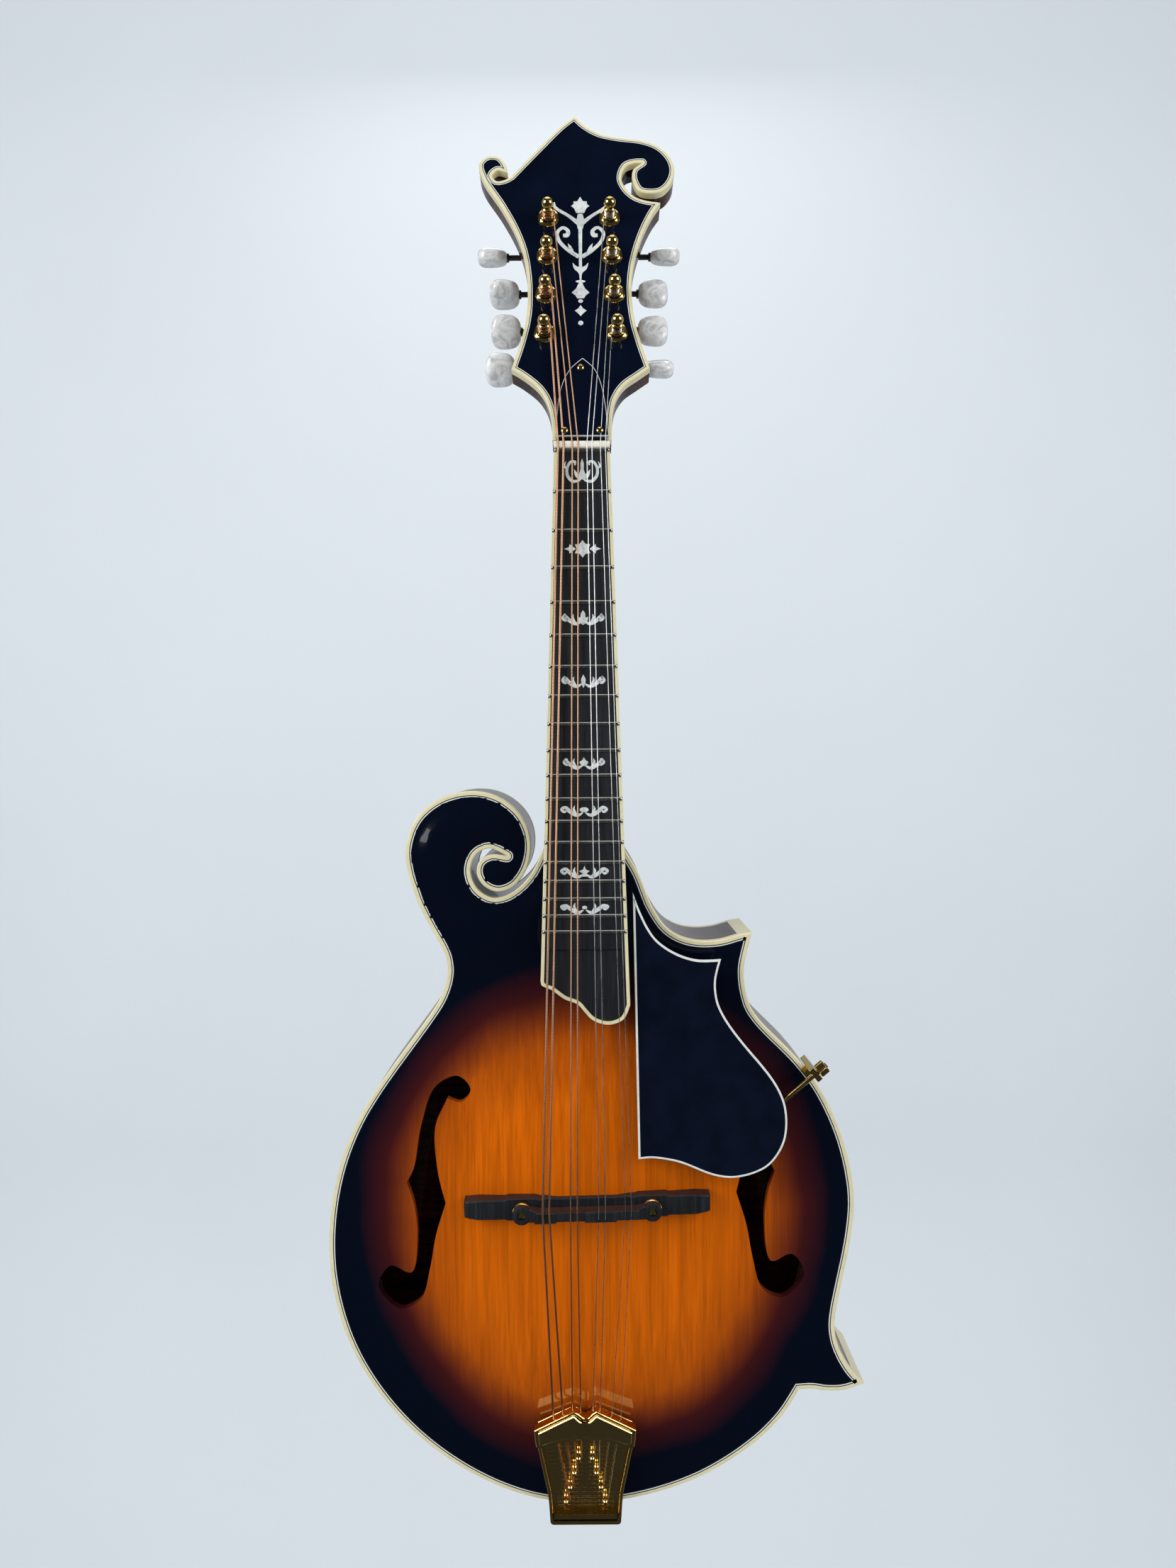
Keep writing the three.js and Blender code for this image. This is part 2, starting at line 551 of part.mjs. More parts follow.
function buildHeadstock() {
  const holes = tunerAxes.map(({ x, v }) => rod(POST_HOLE_RADIUS, -5, 20, 10).translate(x, 0, v));
  const pocket = block([-4.8, 4.8], [-2, 6], [0, 18]);
  const overlay = plank(inset(headOutline, HEAD_BINDING_WIDTH + GAP), 0, OVERLAY_THICKNESS);
  headFrame.add(piece('headstock_overlay', cut(overlay, pocket, ...holes), finishes.blackLacquer));
  const binding = plank(headOutline, 0, HEAD_BINDING_DEPTH, inset(headOutline, HEAD_BINDING_WIDTH));
  const nutEnd = block([-11, 11], [-1, HEAD_BINDING_DEPTH + 1], [-2, 2]);
  headFrame.add(piece('headstock_binding', cut(binding, nutEnd), finishes.ivoroid));

  const cover = chain(
    smooth([[0.6, 41.6], [6.1, 36.2], [9.4, 28], [11.1, 19], [12.1, 10], [12.9, 0.4]]),
    [new THREE.Vector2(12.9, 0.4), new THREE.Vector2(-12.6, 0.4)],
    smooth([[-12.6, 0.4], [-11.9, 10], [-11, 20], [-8.7, 29.5], [-4.8, 36.6], [0.6, 41.6]]),
  );
  headFrame.add(piece('truss_rod_cover', plank(cover, -GAP - 1.5, -GAP), finishes.blackLacquer));
}

// ---- Tuning machines ----------------------------------------------------------------------------

const postFoot = HEAD_THICKNESS + WORM_BEHIND + 2;

// Ball-topped string post with its gear wheel, on the Y axis.
function tunerPost() {
  const shaft = turned([
    [0, -POST_STAND - 5], [1.8, -POST_STAND - 4.4], [2.9, -POST_STAND - 2.2], [1.8, -POST_STAND],
    [POST_RADIUS, -POST_STAND + 1], [POST_RADIUS, HEAD_THICKNESS + 3], [2.2, HEAD_THICKNESS + 3.4],
    [2.2, postFoot],
    [0, postFoot],
  ], 8);
  const rim = Array.from({ length: GEAR_TEETH * 2 }, (_, i) => {
    const radius = i % 2 ? GEAR_RADIUS : GEAR_RADIUS - 0.6;
    const angle = (Math.PI * i) / GEAR_TEETH;
    return new THREE.Vector2(radius * Math.cos(angle), radius * Math.sin(angle));
  });
  const axis = HEAD_THICKNESS + WORM_BEHIND;
  return join(shaft, plank(rim, axis - 1.6, axis + 1.6));
}

// Worm, shaft and button, turned about an axis along X that points away from the headstock.
function tunerKnob(reach, turn) {
  const worm = [[0, -5.2], [SHAFT_RADIUS, -5.2], [SHAFT_RADIUS, -3.6]];
  for (let i = 0; i < 3; i += 1) {
    worm.push([WORM_RADIUS - 0.5, -3.2 + 2.2 * i], [WORM_RADIUS, -2.1 + 2.2 * i]);
  }
  worm.push([SHAFT_RADIUS, 3.6], [SHAFT_RADIUS, reach - 14]);
  worm.push([BUSH_RADIUS, reach - 13.6], [BUSH_RADIUS, reach - 8], [0, reach - 8]);
  const shaft = turned(worm, 8);
  const button = new THREE.SphereGeometry(1, 10, 6);
  button.scale(BUTTON[2], BUTTON[0], BUTTON[1]).rotateY(rad(turn)).translate(0, reach - BUTTON[0], 0);
  return join(shaft, button).rotateZ(-Math.PI / 2);
}

// Backing plate with a pair of ears for each worm shaft.
function tunerPlate({ side, foot, lean }, axes) {
  const back = HEAD_THICKNESS + GAP;
  const front = back + TUNER_PLATE_THICKNESS;
  const middle = foot + lean * 1.5 * TUNER_PITCH;
  const low = TUNER_FIRST_ROW - 13;
  const high = TUNER_FIRST_ROW + 3 * TUNER_PITCH + 9;
  const strip = block([middle - 7.5, middle + 7.5], [back, front], [low, high]);
  const ears = axes.flatMap(({ x, v }) => [-6.4, 6.4].map((offset) => {
    const at = x + offset;
    return block([at - 0.8, at + 0.8], [back + 0.5, HEAD_THICKNESS + WORM_BEHIND + 2.6], [
      v - WORM_DROP - 2.8,
      v - WORM_DROP + 2.8,
    ]);
  }));
  const bearings = axes.map(({ x, v }) => (
    rod(SHAFT_RADIUS + 0.35, -12, 12, 8)
      .rotateZ(Math.PI / 2)
      .translate(x, HEAD_THICKNESS + WORM_BEHIND, v - WORM_DROP)
  ));
  const holes = axes.map(({ x, v }) => rod(POST_HOLE_RADIUS, 0, 40, 8).translate(x, 0, v));
  return cut(join(strip, ...ears), ...bearings, ...holes);
}

function buildTuners() {
  const axis = HEAD_THICKNESS + WORM_BEHIND;
  TUNER_SIDES.forEach((set) => {
    const axes = tunerAxes.filter(({ side }) => side === set.side);
    headFrame.add(piece(`tuner_plate_${set.name}`, tunerPlate(set, axes), finishes.gold));
  });
  tunerAxes.forEach(({ name, side, x, v, reach, turn }) => {
    headFrame.add(piece(`tuner_post_${name}`, tunerPost().translate(x, 0, v), finishes.gold));
    const knob = tunerKnob(reach, turn);
    if (side < 0) knob.rotateY(Math.PI);
    headFrame.add(piece(`tuner_knob_${name}`, knob.translate(x, axis, v - WORM_DROP), finishes.pearl));
  });
}

// ---- Bridge -------------------------------------------------------------------------------------

const bridgeFrame = new THREE.Group();
bridgeFrame.position.set(BRIDGE_CENTRE[0], 0, BRIDGE_CENTRE[1]);
bridgeFrame.rotation.y = -rad(BRIDGE_SLANT);
model.add(bridgeFrame);

function buildBridge() {
  const half = BRIDGE_LENGTH / 2;
  const steps = 16;
  const foot = Array.from({ length: steps + 1 }, (_, i) => {
    const x = THREE.MathUtils.lerp(-half, half, i / steps);
    const z = BRIDGE_CENTRE[1];
    const rise = Math.max(dome(x, z - 6.5), dome(x, z + 6.5), dome(x + BRIDGE_CENTRE[0], z));
    return [x, -GAP - FRONT_ARCH * rise];
  });
  const topEdge = [[half, -13.5], [half - 4, -16.5], [half - 20, BRIDGE_TOP], [-half + 20, BRIDGE_TOP],
    [-half + 4, -16.5], [-half, -13.5]];
  const plan = new THREE.Shape();
  plan.absarc(half - BASE_EAR, 0, BASE_EAR, -Math.PI / 2, Math.PI / 2);
  plan.absarc(-half + BASE_EAR, 0, BASE_EAR, Math.PI / 2, (3 * Math.PI) / 2);
  const posts = [-1, 1].map((side) => (side * WHEEL_SPACING) / 2);
  const postHole = (x, back) => rod(BRIDGE_POST_HOLE, -40, back, 16).translate(x, 0, 0);
  const base = common(bar([...foot, ...topEdge], -20, 20), plank(plan.getPoints(6), -30, 0));
  bridgeFrame.add(piece('bridge_base', cut(base, ...posts.map((x) => postHole(x, -14.2))), finishes.ebony));

  const saddlePlan = new THREE.Shape();
  const end = SADDLE_LENGTH / 2 - SADDLE_LOBE;
  saddlePlan.absarc(end, 0, SADDLE_LOBE, -Math.PI * 0.75, Math.PI * 0.75);
  saddlePlan.absarc(-end, 0, SADDLE_LOBE, Math.PI * 0.25, Math.PI * 1.75);
  const ends = plank(saddlePlan.getPoints(5), SADDLE_BACK - 3.6, SADDLE_BACK);
  const crown = slab([
    [SADDLE_BACK - 0.5, -3.4], [SADDLE_BACK - 0.5, 3.6], [SADDLE_FRONT, 3.6], [SADDLE_FRONT, 1.4],
    [SADDLE_FRONT + 1.4, -3.4],
  ], -CROWN_HALF, CROWN_HALF);
  const saddle = cut(join(ends, crown), ...posts.map((x) => postHole(x, -10)));
  bridgeFrame.add(piece('bridge_saddle', saddle, finishes.ebony));

  ['bass', 'treble'].forEach((name, i) => {
    const post = rod(BRIDGE_POST_RADIUS, -26.6, -14.5, 12).translate(posts[i], 0, 0);
    bridgeFrame.add(piece(`bridge_post_${name}`, post, finishes.brass));
    const wheel = rod(WHEEL_RADIUS, SADDLE_BACK + GAP, SADDLE_BACK + GAP + WHEEL_THICKNESS, 24);
    const bored = cut(wheel, rod(BRIDGE_POST_HOLE, -40, 0, 16)).translate(posts[i], 0, 0);
    bridgeFrame.add(piece(`thumbwheel_${name}`, bored, finishes.brass));
  });
}

// ---- Tailpiece and strap button -----------------------------------------------------------------

const pegs = Array.from({ length: 8 }, (_, i) => {
  const rank = i < 4 ? 3 - i : i - 4; // 0 for the innermost pair
  const side = i < 4 ? -1 : 1;
  return { x: TAIL_X + side * (PEG_FIRST[0] + PEG_PITCH[0] * rank), z: PEG_FIRST[1] - PEG_PITCH[1] * rank };
});
// y of the casting's underside, which slopes down to the rim
const tailBack = (z) => TAIL_BACK + (TAIL_TOP - z) * TAIL_SLOPE;

function buildTailpiece() {
  const half = [[5.5, TAIL_TOP], [12.5, -460.5], [22.3, -465.5], [20.4, -478], [16.4, -500], [15.4, -515]];
  const mirrored = half.map(([x, z]) => [-x, z]).reverse();
  const taper = (margin) => [[0, -460.4], ...half, ...mirrored].map(([x, z]) => (
    new THREE.Vector2(TAIL_X + x - Math.sign(x) * margin, z + (z > -465 ? margin * 4 : 0))
  ));
  const lipFront = -511;
  const side = slab([
    [tailBack(-456), -456], [tailBack(lipFront), lipFront], [14, lipFront], [14, lipFront - 2.8],
    [-6.6, lipFront - 2.8], [-11.8, -474.5], [-15.4, -473], [-16.6, -456],
  ], -40, 40);
  const casting = common(side, plank(taper(0), -40, 40));
  const tray = slab([
    [tailBack(-450) - 1.5, -450], [tailBack(-509) - 1.5, -509], [-30, -509], [-30, -474.5], [-12.6, -474.5],
    [-14.8, -450],
  ], -40, 40);
  const hollow = common(tray, plank(taper(TAIL_WALL), -40, 40));
  const pins = pegs.map(({ x, z }) => (
    rod(PEG_RADIUS, tailBack(z) - PEG_HEIGHT, tailBack(z) - 0.6, 8).translate(x, 0, z)
  ));
  model.add(piece('tailpiece', join(cut(casting, hollow), ...pins), finishes.gold));

  const button = turned([
    [0, 0], [6.2, 0], [6.6, 1], [6.2, 2], [3.2, 4], [2.8, 8], [4.2, 9.6], [0, 9.6],
  ], 16).rotateX(-Math.PI / 2);
  button.rotateX(Math.PI).translate(TAIL_X, RIB_HEIGHT / 2, -520.6);
  model.add(piece('strap_button', button, finishes.gold));
}

// ---- Pickguard ----------------------------------------------------------------------------------

function buildPickguard() {
  const guard = chain(
    smooth([[22.8, -210], [27, -220.7], [33.4, -231.6], [43.4, -238.6], [53.4, -241.6], [64.1, -241.4]]),
    smooth([
      [64.1, -241.4], [61.6, -251.5], [62.8, -262.4], [69, -273.6], [77.8, -284.8], [87.6, -297], [93.4, -309.1],
      [93.2, -325.5], [84.8, -337.9], [68.9, -343], [57.4, -341.2], [44.2, -336], [31, -333.7], [24.5, -334.2],
    ]),
  );
  const sheet = plank(guard, GUARD_FRONT, GUARD_FRONT + GUARD_THICKNESS);
  neckFrame.add(piece('pickguard', sheet, finishes.blackLacquer));

  // A rod from under the guard to a clamp that grips the edge of the body.
  const angle = Math.atan2(CLAMP_INWARDS[1], CLAMP_INWARDS[0]);
  const clamp = join(
    rod(CLAMP_ROD_RADIUS, -9, 34, 8).rotateZ(-Math.PI / 2).translate(0, CLAMP_ROD_Y, 0),
    block([29, 35], [-15.6, -8.4], [-3, 3]),
    block([-3.4, -0.6], [-11.5, 12], [-3.4, 3.4]),
    block([-3.4, 2.6], [-1.8, -GAP], [-3.4, 3.4]),
  );
  const place = (solid) => solid.rotateY(-angle).translate(CLAMP_PLACE[0], 0, CLAMP_PLACE[1]);
  model.add(piece('pickguard_bracket', place(clamp), finishes.gold));
  const nut = cut(rod(CLAMP_NUT_RADIUS, -8.4, -3.8, 16), rod(CLAMP_ROD_RADIUS + 0.35, -20, 20, 8));
  nut.rotateZ(-Math.PI / 2).translate(0, CLAMP_ROD_Y, 0);
  model.add(piece('pickguard_clamp_nut', place(nut), finishes.gold));
}

// ---- Strings ------------------------------------------------------------------------------------

// A route of straight spans, sampled exactly at its corners.
class Route extends THREE.Curve {
  constructor(points) {
    super();
    this.points = points;
  }

  getPoint(t) {
    const place = t * (this.points.length - 1);
    const i = Math.min(Math.floor(place), this.points.length - 2);
    return this.points[i].clone().lerp(this.points[i + 1], place - i);
  }

  getSpacedPoints(count) {
    return this.getPoints(count);
  }

  getTangentAt(t) {
    return this.getTangent(t);
  }
}

function buildStrings() {
  model.updateMatrixWorld(true);
  const inHead = (x, y, z) => new THREE.Vector3(x, y, z).applyMatrix4(headFrame.matrixWorld);
  const inNeck = (x, y, z) => new THREE.Vector3(x, y, z).applyMatrix4(neckFrame.matrixWorld);
  const postOrder = [0, 1, 2, 3, 7, 6, 5, 4];
  STRING_RADII.forEach((radius, i) => {
    const { x, z } = pegs[i];
    const { side, x: postX, v } = tunerAxes[postOrder[i]];
    const saddleZ = BRIDGE_CENTRE[1] + 2.6 + STRING_AT_SADDLE[i] * Math.sin(rad(BRIDGE_SLANT));
    const route = new Route([
      new THREE.Vector3(x, tailBack(z) - 3.4, z + 1.6 + radius),
      new THREE.Vector3(TAIL_X + STRING_AT_HOOD[i], -12.2, -467),
      new THREE.Vector3(TAIL_X + STRING_AT_HOOD[i] * 1.02, -13.2, -461),
      new THREE.Vector3(STRING_AT_SADDLE[i] + BRIDGE_CENTRE[0], SADDLE_FRONT - GAP - radius, saddleZ),
      inNeck(STRING_AT_NUT[i], STRING_CLEARANCE, 2.5),
      inHead(postX - side * (POST_RADIUS + GAP + radius), -5, v),
    ]);
    const section = new THREE.Shape();
    section.absarc(0, 0, radius, 0, 2 * Math.PI);
    const wire = new THREE.ExtrudeGeometry(section, {
      steps: route.points.length - 1,
      extrudePath: route,
      curveSegments: 3,
      bevelEnabled: false,
    });
    model.add(piece(`string_${i + 1}`, wire, radius > 0.3 ? finishes.bronze : finishes.steel));
  });
}

buildBody();
buildBlocks();
buildNeck();
buildFretboard();
buildHeadstock();
buildTuners();
buildBridge();
buildTailpiece();
buildPickguard();
buildStrings();

export default model;
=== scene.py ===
"""A scroll-bodied mandolin with two points, in a dark sunburst, built round its fixed frame of parts."""
import math

import bmesh
import bpy
import numpy as np
from mathutils import Matrix, Vector


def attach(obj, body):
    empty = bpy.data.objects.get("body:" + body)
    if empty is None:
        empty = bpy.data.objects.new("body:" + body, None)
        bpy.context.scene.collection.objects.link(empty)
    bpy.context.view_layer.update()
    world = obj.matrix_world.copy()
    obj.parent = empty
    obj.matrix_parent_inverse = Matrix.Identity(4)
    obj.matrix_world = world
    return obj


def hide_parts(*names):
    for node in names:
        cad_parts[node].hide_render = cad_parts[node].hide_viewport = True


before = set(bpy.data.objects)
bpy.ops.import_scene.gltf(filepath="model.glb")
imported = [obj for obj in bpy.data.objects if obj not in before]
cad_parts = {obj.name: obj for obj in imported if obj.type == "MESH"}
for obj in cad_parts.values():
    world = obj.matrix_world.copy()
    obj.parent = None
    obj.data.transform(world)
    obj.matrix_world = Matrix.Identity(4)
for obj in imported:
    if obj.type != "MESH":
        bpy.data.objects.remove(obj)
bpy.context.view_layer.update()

bl_info = {
    "name": "Scroll mandolin",
    "version": (1, 0, 0),
    "blender": (4, 5, 0),
    "location": "3D View > Sidebar > Mandolin",
    "description": "Builds a two-point scroll mandolin round its frame of parts",
    "category": "Add Mesh",
}

# ---- Drawings ------------------------------------------------------------------------------------
# Pieces are drawn in millimetres in the frame they belong to: x across to the treble side, y into the
# instrument and z up. BODY, NECK, HEAD and BRIDGE carry a drawing to its place.

MM = 0.001
BODY = Matrix.Scale(MM, 4)
NECK = Matrix.Translation((0, -1.8 * MM, 0)) @ Matrix.Rotation(math.radians(-3.6), 4, "X") @ BODY
HEAD = NECK @ Matrix.Translation((0, 0.62, 6.05)) @ Matrix.Rotation(math.radians(-10), 4, "X")
BRIDGE = Matrix.Translation((0.4 * MM, 0, -357 * MM)) @ Matrix.Rotation(math.radians(-1.3), 4, "Y") @ BODY

BODY_CORNERS = [(-20, -190.5), (-37.2, -193.2), (103.2, -454.7), (135, -451.9), (80.8, -230.8),
                (19.5, -190.5)]
HEAD_CORNERS = [(-14, -1), (-33.9, 36.8), (-36.6, 147.1), (-35.1, 145), (-2.9, 180.8), (31, 152.5), (40, 129.3),
                (33.2, 37), (14.2, -1)]
BOARD_CORNERS = [(-13.5, -0.6), (-20.6, -248), (21.1, -262), (13.5, -0.6)]
GUARD_CORNERS = [(22.8, -210), (64.1, -241.4), (24.5, -334.2)]
COVER_CORNERS = [(0.6, 41.6), (12.9, 0.4), (-12.6, 0.4)]

SCALE_LENGTH = 352.4
FRET_COUNT = 18
RIB_HEIGHT = 46.7
PLATE_THICKNESS = 4.2
FRONT_ARCH = 13
BACK_ARCH = 12
ARCH_CENTRE = (2, -375)
ARCH_REACH = (116, 140)
BOARD_THICKNESS = 5
HEAD_THICKNESS = 13.5
TUNER_PITCH = 21.5
TUNER_FIRST_ROW = 56.1
WORM_DROP = 6.3
WORM_AXIS = 20.9
TUNER_SIDES = {
    "bass": {"side": -1, "foot": -17.8, "lean": 0.025, "reach": (30.5, 28.5, 30, 37),
             "turn": (57, 54, 12, -27)},
    "treble": {"side": 1, "foot": 17.3, "lean": -0.046, "reach": (29, 27.5, 29, 36.5),
               "turn": (39, 83, 77, 33)},
}
TAIL_X = -1.2
ROD_DEPTH = 9.6
WHEEL_X = 30.3
STRING_RADII = (0.5, 0.5, 0.33, 0.33, 0.2, 0.2, 0.14, 0.14)
STRING_AT_NUT = (-11.3, -8.6, -4.5, -1.7, 2.4, 4.8, 8.8, 11.1)
STRING_AT_SADDLE = (-20.4, -17.4, -7.6, -4.5, 5.4, 8.5, 17.6, 20.4)
STRING_AT_HOOD = (-16.2, -11.6, -7.2, -3.2, 2.4, 5.8, 11.4, 15.8)
SOUND_HOLE = [
    [(-66.6, -309.3), (-60, -311), (-55.2, -304.8), (-61.3, -298.7), (-72.5, -304.1), (-79.5, -323),
     (-83.2, -343.5), (-86.6, -350.4)],
    [(-86.6, -350.4), (-83, -361), (-81.5, -376.2), (-84.7, -394.1), (-95, -391.6), (-101.1, -402),
     (-90.7, -412.7), (-80.3, -407.2), (-75.5, -391.7), (-72.2, -374.5), (-67.4, -359)],
    [(-67.4, -359), (-71.3, -343.5), (-72.4, -323), (-66.6, -309.3)],
]
TREBLE_HOLE_SHIFT = (4.4, 4.6)


def tuner_axes():
    """Name, side, place, reach and button angle of each tuning machine, on the headstock's drawing."""
    for name, row in TUNER_SIDES.items():
        for i in range(4):
            yield {
                "name": f"{name}_{i + 1}",
                "side": row["side"],
                "x": row["foot"] + row["lean"] * i * TUNER_PITCH,
                "z": TUNER_FIRST_ROW + i * TUNER_PITCH,
                "reach": row["reach"][i],
                "turn": row["turn"][i],
            }


# ---- Outlines ------------------------------------------------------------------------------------


def section(node, place, depth):
    """Closed loops of (x, z) points where a part crosses one depth of its drawing, the longest first."""
    bm = bmesh.new()
    bm.from_mesh(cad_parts[node].data)
    bmesh.ops.transform(bm, matrix=place.inverted(), verts=bm.verts)
    bmesh.ops.remove_doubles(bm, verts=bm.verts, dist=0.005)
    bmesh.ops.bisect_plane(bm, geom=bm.verts[:] + bm.edges[:] + bm.faces[:], dist=1e-4, plane_co=(0, depth, 0),
                           plane_no=(0, 1, 0), clear_inner=True, clear_outer=True)
    loops = []
    left = set(bm.verts)
    while left:
        vert = left.pop()
        loop = [vert]
        while vert is not None:
            vert = next((e.other_vert(vert) for e in vert.link_edges if e.other_vert(vert) in left), None)
            if vert is not None:
                left.discard(vert)
                loop.append(vert)
        loops.append(np.array([(v.co.x, v.co.z) for v in loop]))
    bm.free()
    loops = [straightened(loop) for loop in loops if len(loop) > 2]
    return sorted(loops, key=lambda loop: -np.linalg.norm(np.roll(loop, -1, 0) - loop, axis=1).sum())


def straightened(loop):
    """A loop without the points at which it doesn't turn, running anticlockwise."""
    loop = loop[np.linalg.norm(np.roll(loop, -1, 0) - loop, axis=1) > 0.25]
    before = loop - np.roll(loop, 1, 0)
    after = np.roll(loop, -1, 0) - loop
    turn = np.arctan2(cross(before, after), (before * after).sum(1))
    loop = loop[np.abs(turn) > 0.01]
    return loop if cross(loop, np.roll(loop, -1, 0)).sum() > 0 else loop[::-1]


def cross(a, b):
    return a[..., 0] * b[..., 1] - a[..., 1] * b[..., 0]


def curve_through(points, step):
    """Points along a smooth curve through the given ones, which are the run's ends and knots."""
    points = np.array(points, float)
    padded = np.vstack([2 * points[0] - points[1], points, 2 * points[-1] - points[-2]])
    found = [points[0]]
    for p0, p1, p2, p3 in zip(padded, padded[1:], padded[2:], padded[3:]):
        knots = [0.0]
        for a, b in ((p0, p1), (p1, p2), (p2, p3)):
            knots.append(knots[-1] + max(np.linalg.norm(b - a), 1e-6) ** 0.5)
        t0, t1, t2, t3 = knots
        count = max(1, round(np.linalg.norm(p2 - p1) / step))
        for t in np.linspace(t1, t2, count + 1)[1:]:
            a1 = (p0 * (t1 - t) + p1 * (t - t0)) / (t1 - t0)
            a2 = (p1 * (t2 - t) + p2 * (t - t1)) / (t2 - t1)
            a3 = (p2 * (t3 - t) + p3 * (t - t2)) / (t3 - t2)
            b1 = (a1 * (t2 - t) + a2 * (t - t0)) / (t2 - t0)
            b2 = (a2 * (t3 - t) + a3 * (t - t1)) / (t3 - t1)
            found.append((b1 * (t2 - t) + b2 * (t - t1)) / (t2 - t1))
    return np.array(found)


def outer_run(loop, start, end):
    """The outer side of a strip's section between its two ends."""
    first, last = (int(np.argmin(np.linalg.norm(loop - place, axis=1))) for place in (start, end))
    loop = np.roll(loop, -first, 0)
    last = (last - first) % len(loop)
    runs = (loop[:last + 1], np.vstack([loop[last:], loop[:1]]))
    run = max(runs, key=lambda points: abs(cross(points, np.roll(points, -1, 0)).sum()))
    return run if cross(run, np.roll(run, -1, 0)).sum() > 0 else run[::-1]


class Outline:
    """A faired closed outline that can be moved in or out and keeps one point for each of its own."""

    def __init__(self, loop, corners, step=1.5, clear=3.0, square_end=None):
        final = loop[-1]
        corners = np.array(corners, float)
        sharp = sorted({int(np.argmin(np.linalg.norm(loop - corner, axis=1))) for corner in corners})
        loop = np.roll(loop, -sharp[0], 0)
        ends = [i - sharp[0] for i in sharp] + [len(loop)]
        looped = np.vstack([loop, loop])
        points = []
        for start, end in zip(ends, ends[1:]):
            run = curve_through(looped[start:end + 1], step)
            along = np.append(0, np.cumsum(np.linalg.norm(np.diff(run, axis=0), axis=1)))
            keep = (along > clear) & (along < along[-1] - clear)
            keep[0] = True
            points.extend(run[keep])
        points = np.array(points)
        before = points - np.roll(points, 1, 0)
        after = np.roll(points, -1, 0) - points
        before /= np.linalg.norm(before, axis=1)[:, None]
        after /= np.linalg.norm(after, axis=1)[:, None]
        left = np.stack([-before[:, 1], before[:, 0]], 1)
        right = np.stack([-after[:, 1], after[:, 0]], 1)
        mitre = (left + right) / np.maximum(1 + (left * right).sum(1), 0.12)[:, None]
        turn = np.arctan2(cross(before, after), (before * after).sum(1))
        self.points, self.slopes = [], []
        for i, point in enumerate(points):
            if turn[i] < -1.2:
                start = math.atan2(left[i][1], left[i][0])
                for share in np.linspace(0, 1, 9):
                    angle = start + turn[i] * share
                    self.points.append(point)
                    self.slopes.append((math.cos(angle), math.sin(angle)))
            else:
                self.points.append(point)
                self.slopes.append(mitre[i])
        self.points = np.array(self.points)
        self.slopes = np.array(self.slopes)
        self.run_end = int(np.argmin(np.linalg.norm(self.points - final, axis=1)))
        if square_end is not None:
            level = np.abs(self.points[:, 1] - square_end) < 0.01
            self.slopes[level, 1] = 0

    def moved(self, inwards):
        return self.points + self.slopes * inwards

    def distance(self, places):
        """Distance of each place from the outline."""
        start = self.points
        along = np.roll(start, -1, 0) - start
        squared = np.maximum((along ** 2).sum(1), 1e-9)
        nearest = np.empty(len(places))
        for i, place in enumerate(places):
            t = np.clip(((place - start) * along).sum(1) / squared, 0, 1)
            nearest[i] = np.linalg.norm(start + along * t[:, None] - place, axis=1).min()
        return nearest


# ---- Modelling helpers ---------------------------------------------------------------------------


def flat(points, depth=0.0):
    """(x, z) points as places at one depth."""
    return [(x, depth, z) for x, z in points]


def loop_of(bm, places, closed=True):
    verts = [bm.verts.new(place) for place in places]
    ends = verts[1:] + verts[:1] if closed else verts[1:]
    return verts, [bm.edges.new(pair) for pair in zip(verts, ends)]


def skin(bm, loops, closed=True, caps=True):
    """Draws an edge loop out through each of the loops that follow it, and fills its two ends."""
    verts, edges = loop_of(bm, loops[0], closed)
    if caps:
        bmesh.ops.contextual_create(bm, geom=edges)
    for places in loops[1:]:
        made = bmesh.ops.extrude_edge_only(bm, edges=edges)["geom"]
        fresh = {g for g in made if isinstance(g, bmesh.types.BMVert)}
        edges = [g for g in made if isinstance(g, bmesh.types.BMEdge) and set(g.verts) <= fresh]
        verts = [next(e.other_vert(v) for e in v.link_edges if e.other_vert(v) in fresh) for v in verts]
        for vert, place in zip(verts, places):
            vert.co = place
    if caps:
        bmesh.ops.contextual_create(bm, geom=edges)
    return bm


def board(bm, outline, profile):
    """A solid with an outline's shape: the profile lists how far in the side stands at each depth."""
    return skin(bm, [flat(outline.moved(inwards), depth) for inwards, depth in profile])


def strip(bm, outline, profile, lift=None, whole=True):
    """A strip that follows an outline, whose closed cross-section lists how far in and how deep it goes."""
    if not whole:
        lines = [flat(outline.moved(inwards), depth) for inwards, depth in profile]
        return skin(bm, [[line[i] for line in lines] for i in range(outline.run_end + 1)])
    loops = []
    for inwards, depth in profile + profile[:1]:
        places = outline.moved(inwards)
        rise = lift(places) if lift else np.zeros(len(places))
        loops.append([(x, depth + up, z) for (x, z), up in zip(places, rise)])
    return skin(bm, loops, caps=False)


def turned(bm, profile, sides=40):
    """A piece turned about the depth axis, from (radius, depth) pairs that begin and end on the axis."""
    verts, edges = loop_of(bm, [(radius, depth, 0) for radius, depth in profile], closed=False)
    bmesh.ops.spin(bm, geom=verts + edges, cent=(0, 0, 0), axis=(0, 1, 0), angle=2 * math.pi, steps=sides,
                   use_merge=True)
    return bm


def block(bm, x, y, z):
    """A rectangular block between pairs of limits."""
    size = (x[1] - x[0], y[1] - y[0], z[1] - z[0])
    middle = ((x[0] + x[1]) / 2, (y[0] + y[1]) / 2, (z[0] + z[1]) / 2)
    matrix = Matrix.Translation(middle) @ Matrix.Diagonal((*size, 1))
    return bmesh.ops.create_cube(bm, size=1, matrix=matrix)["verts"]


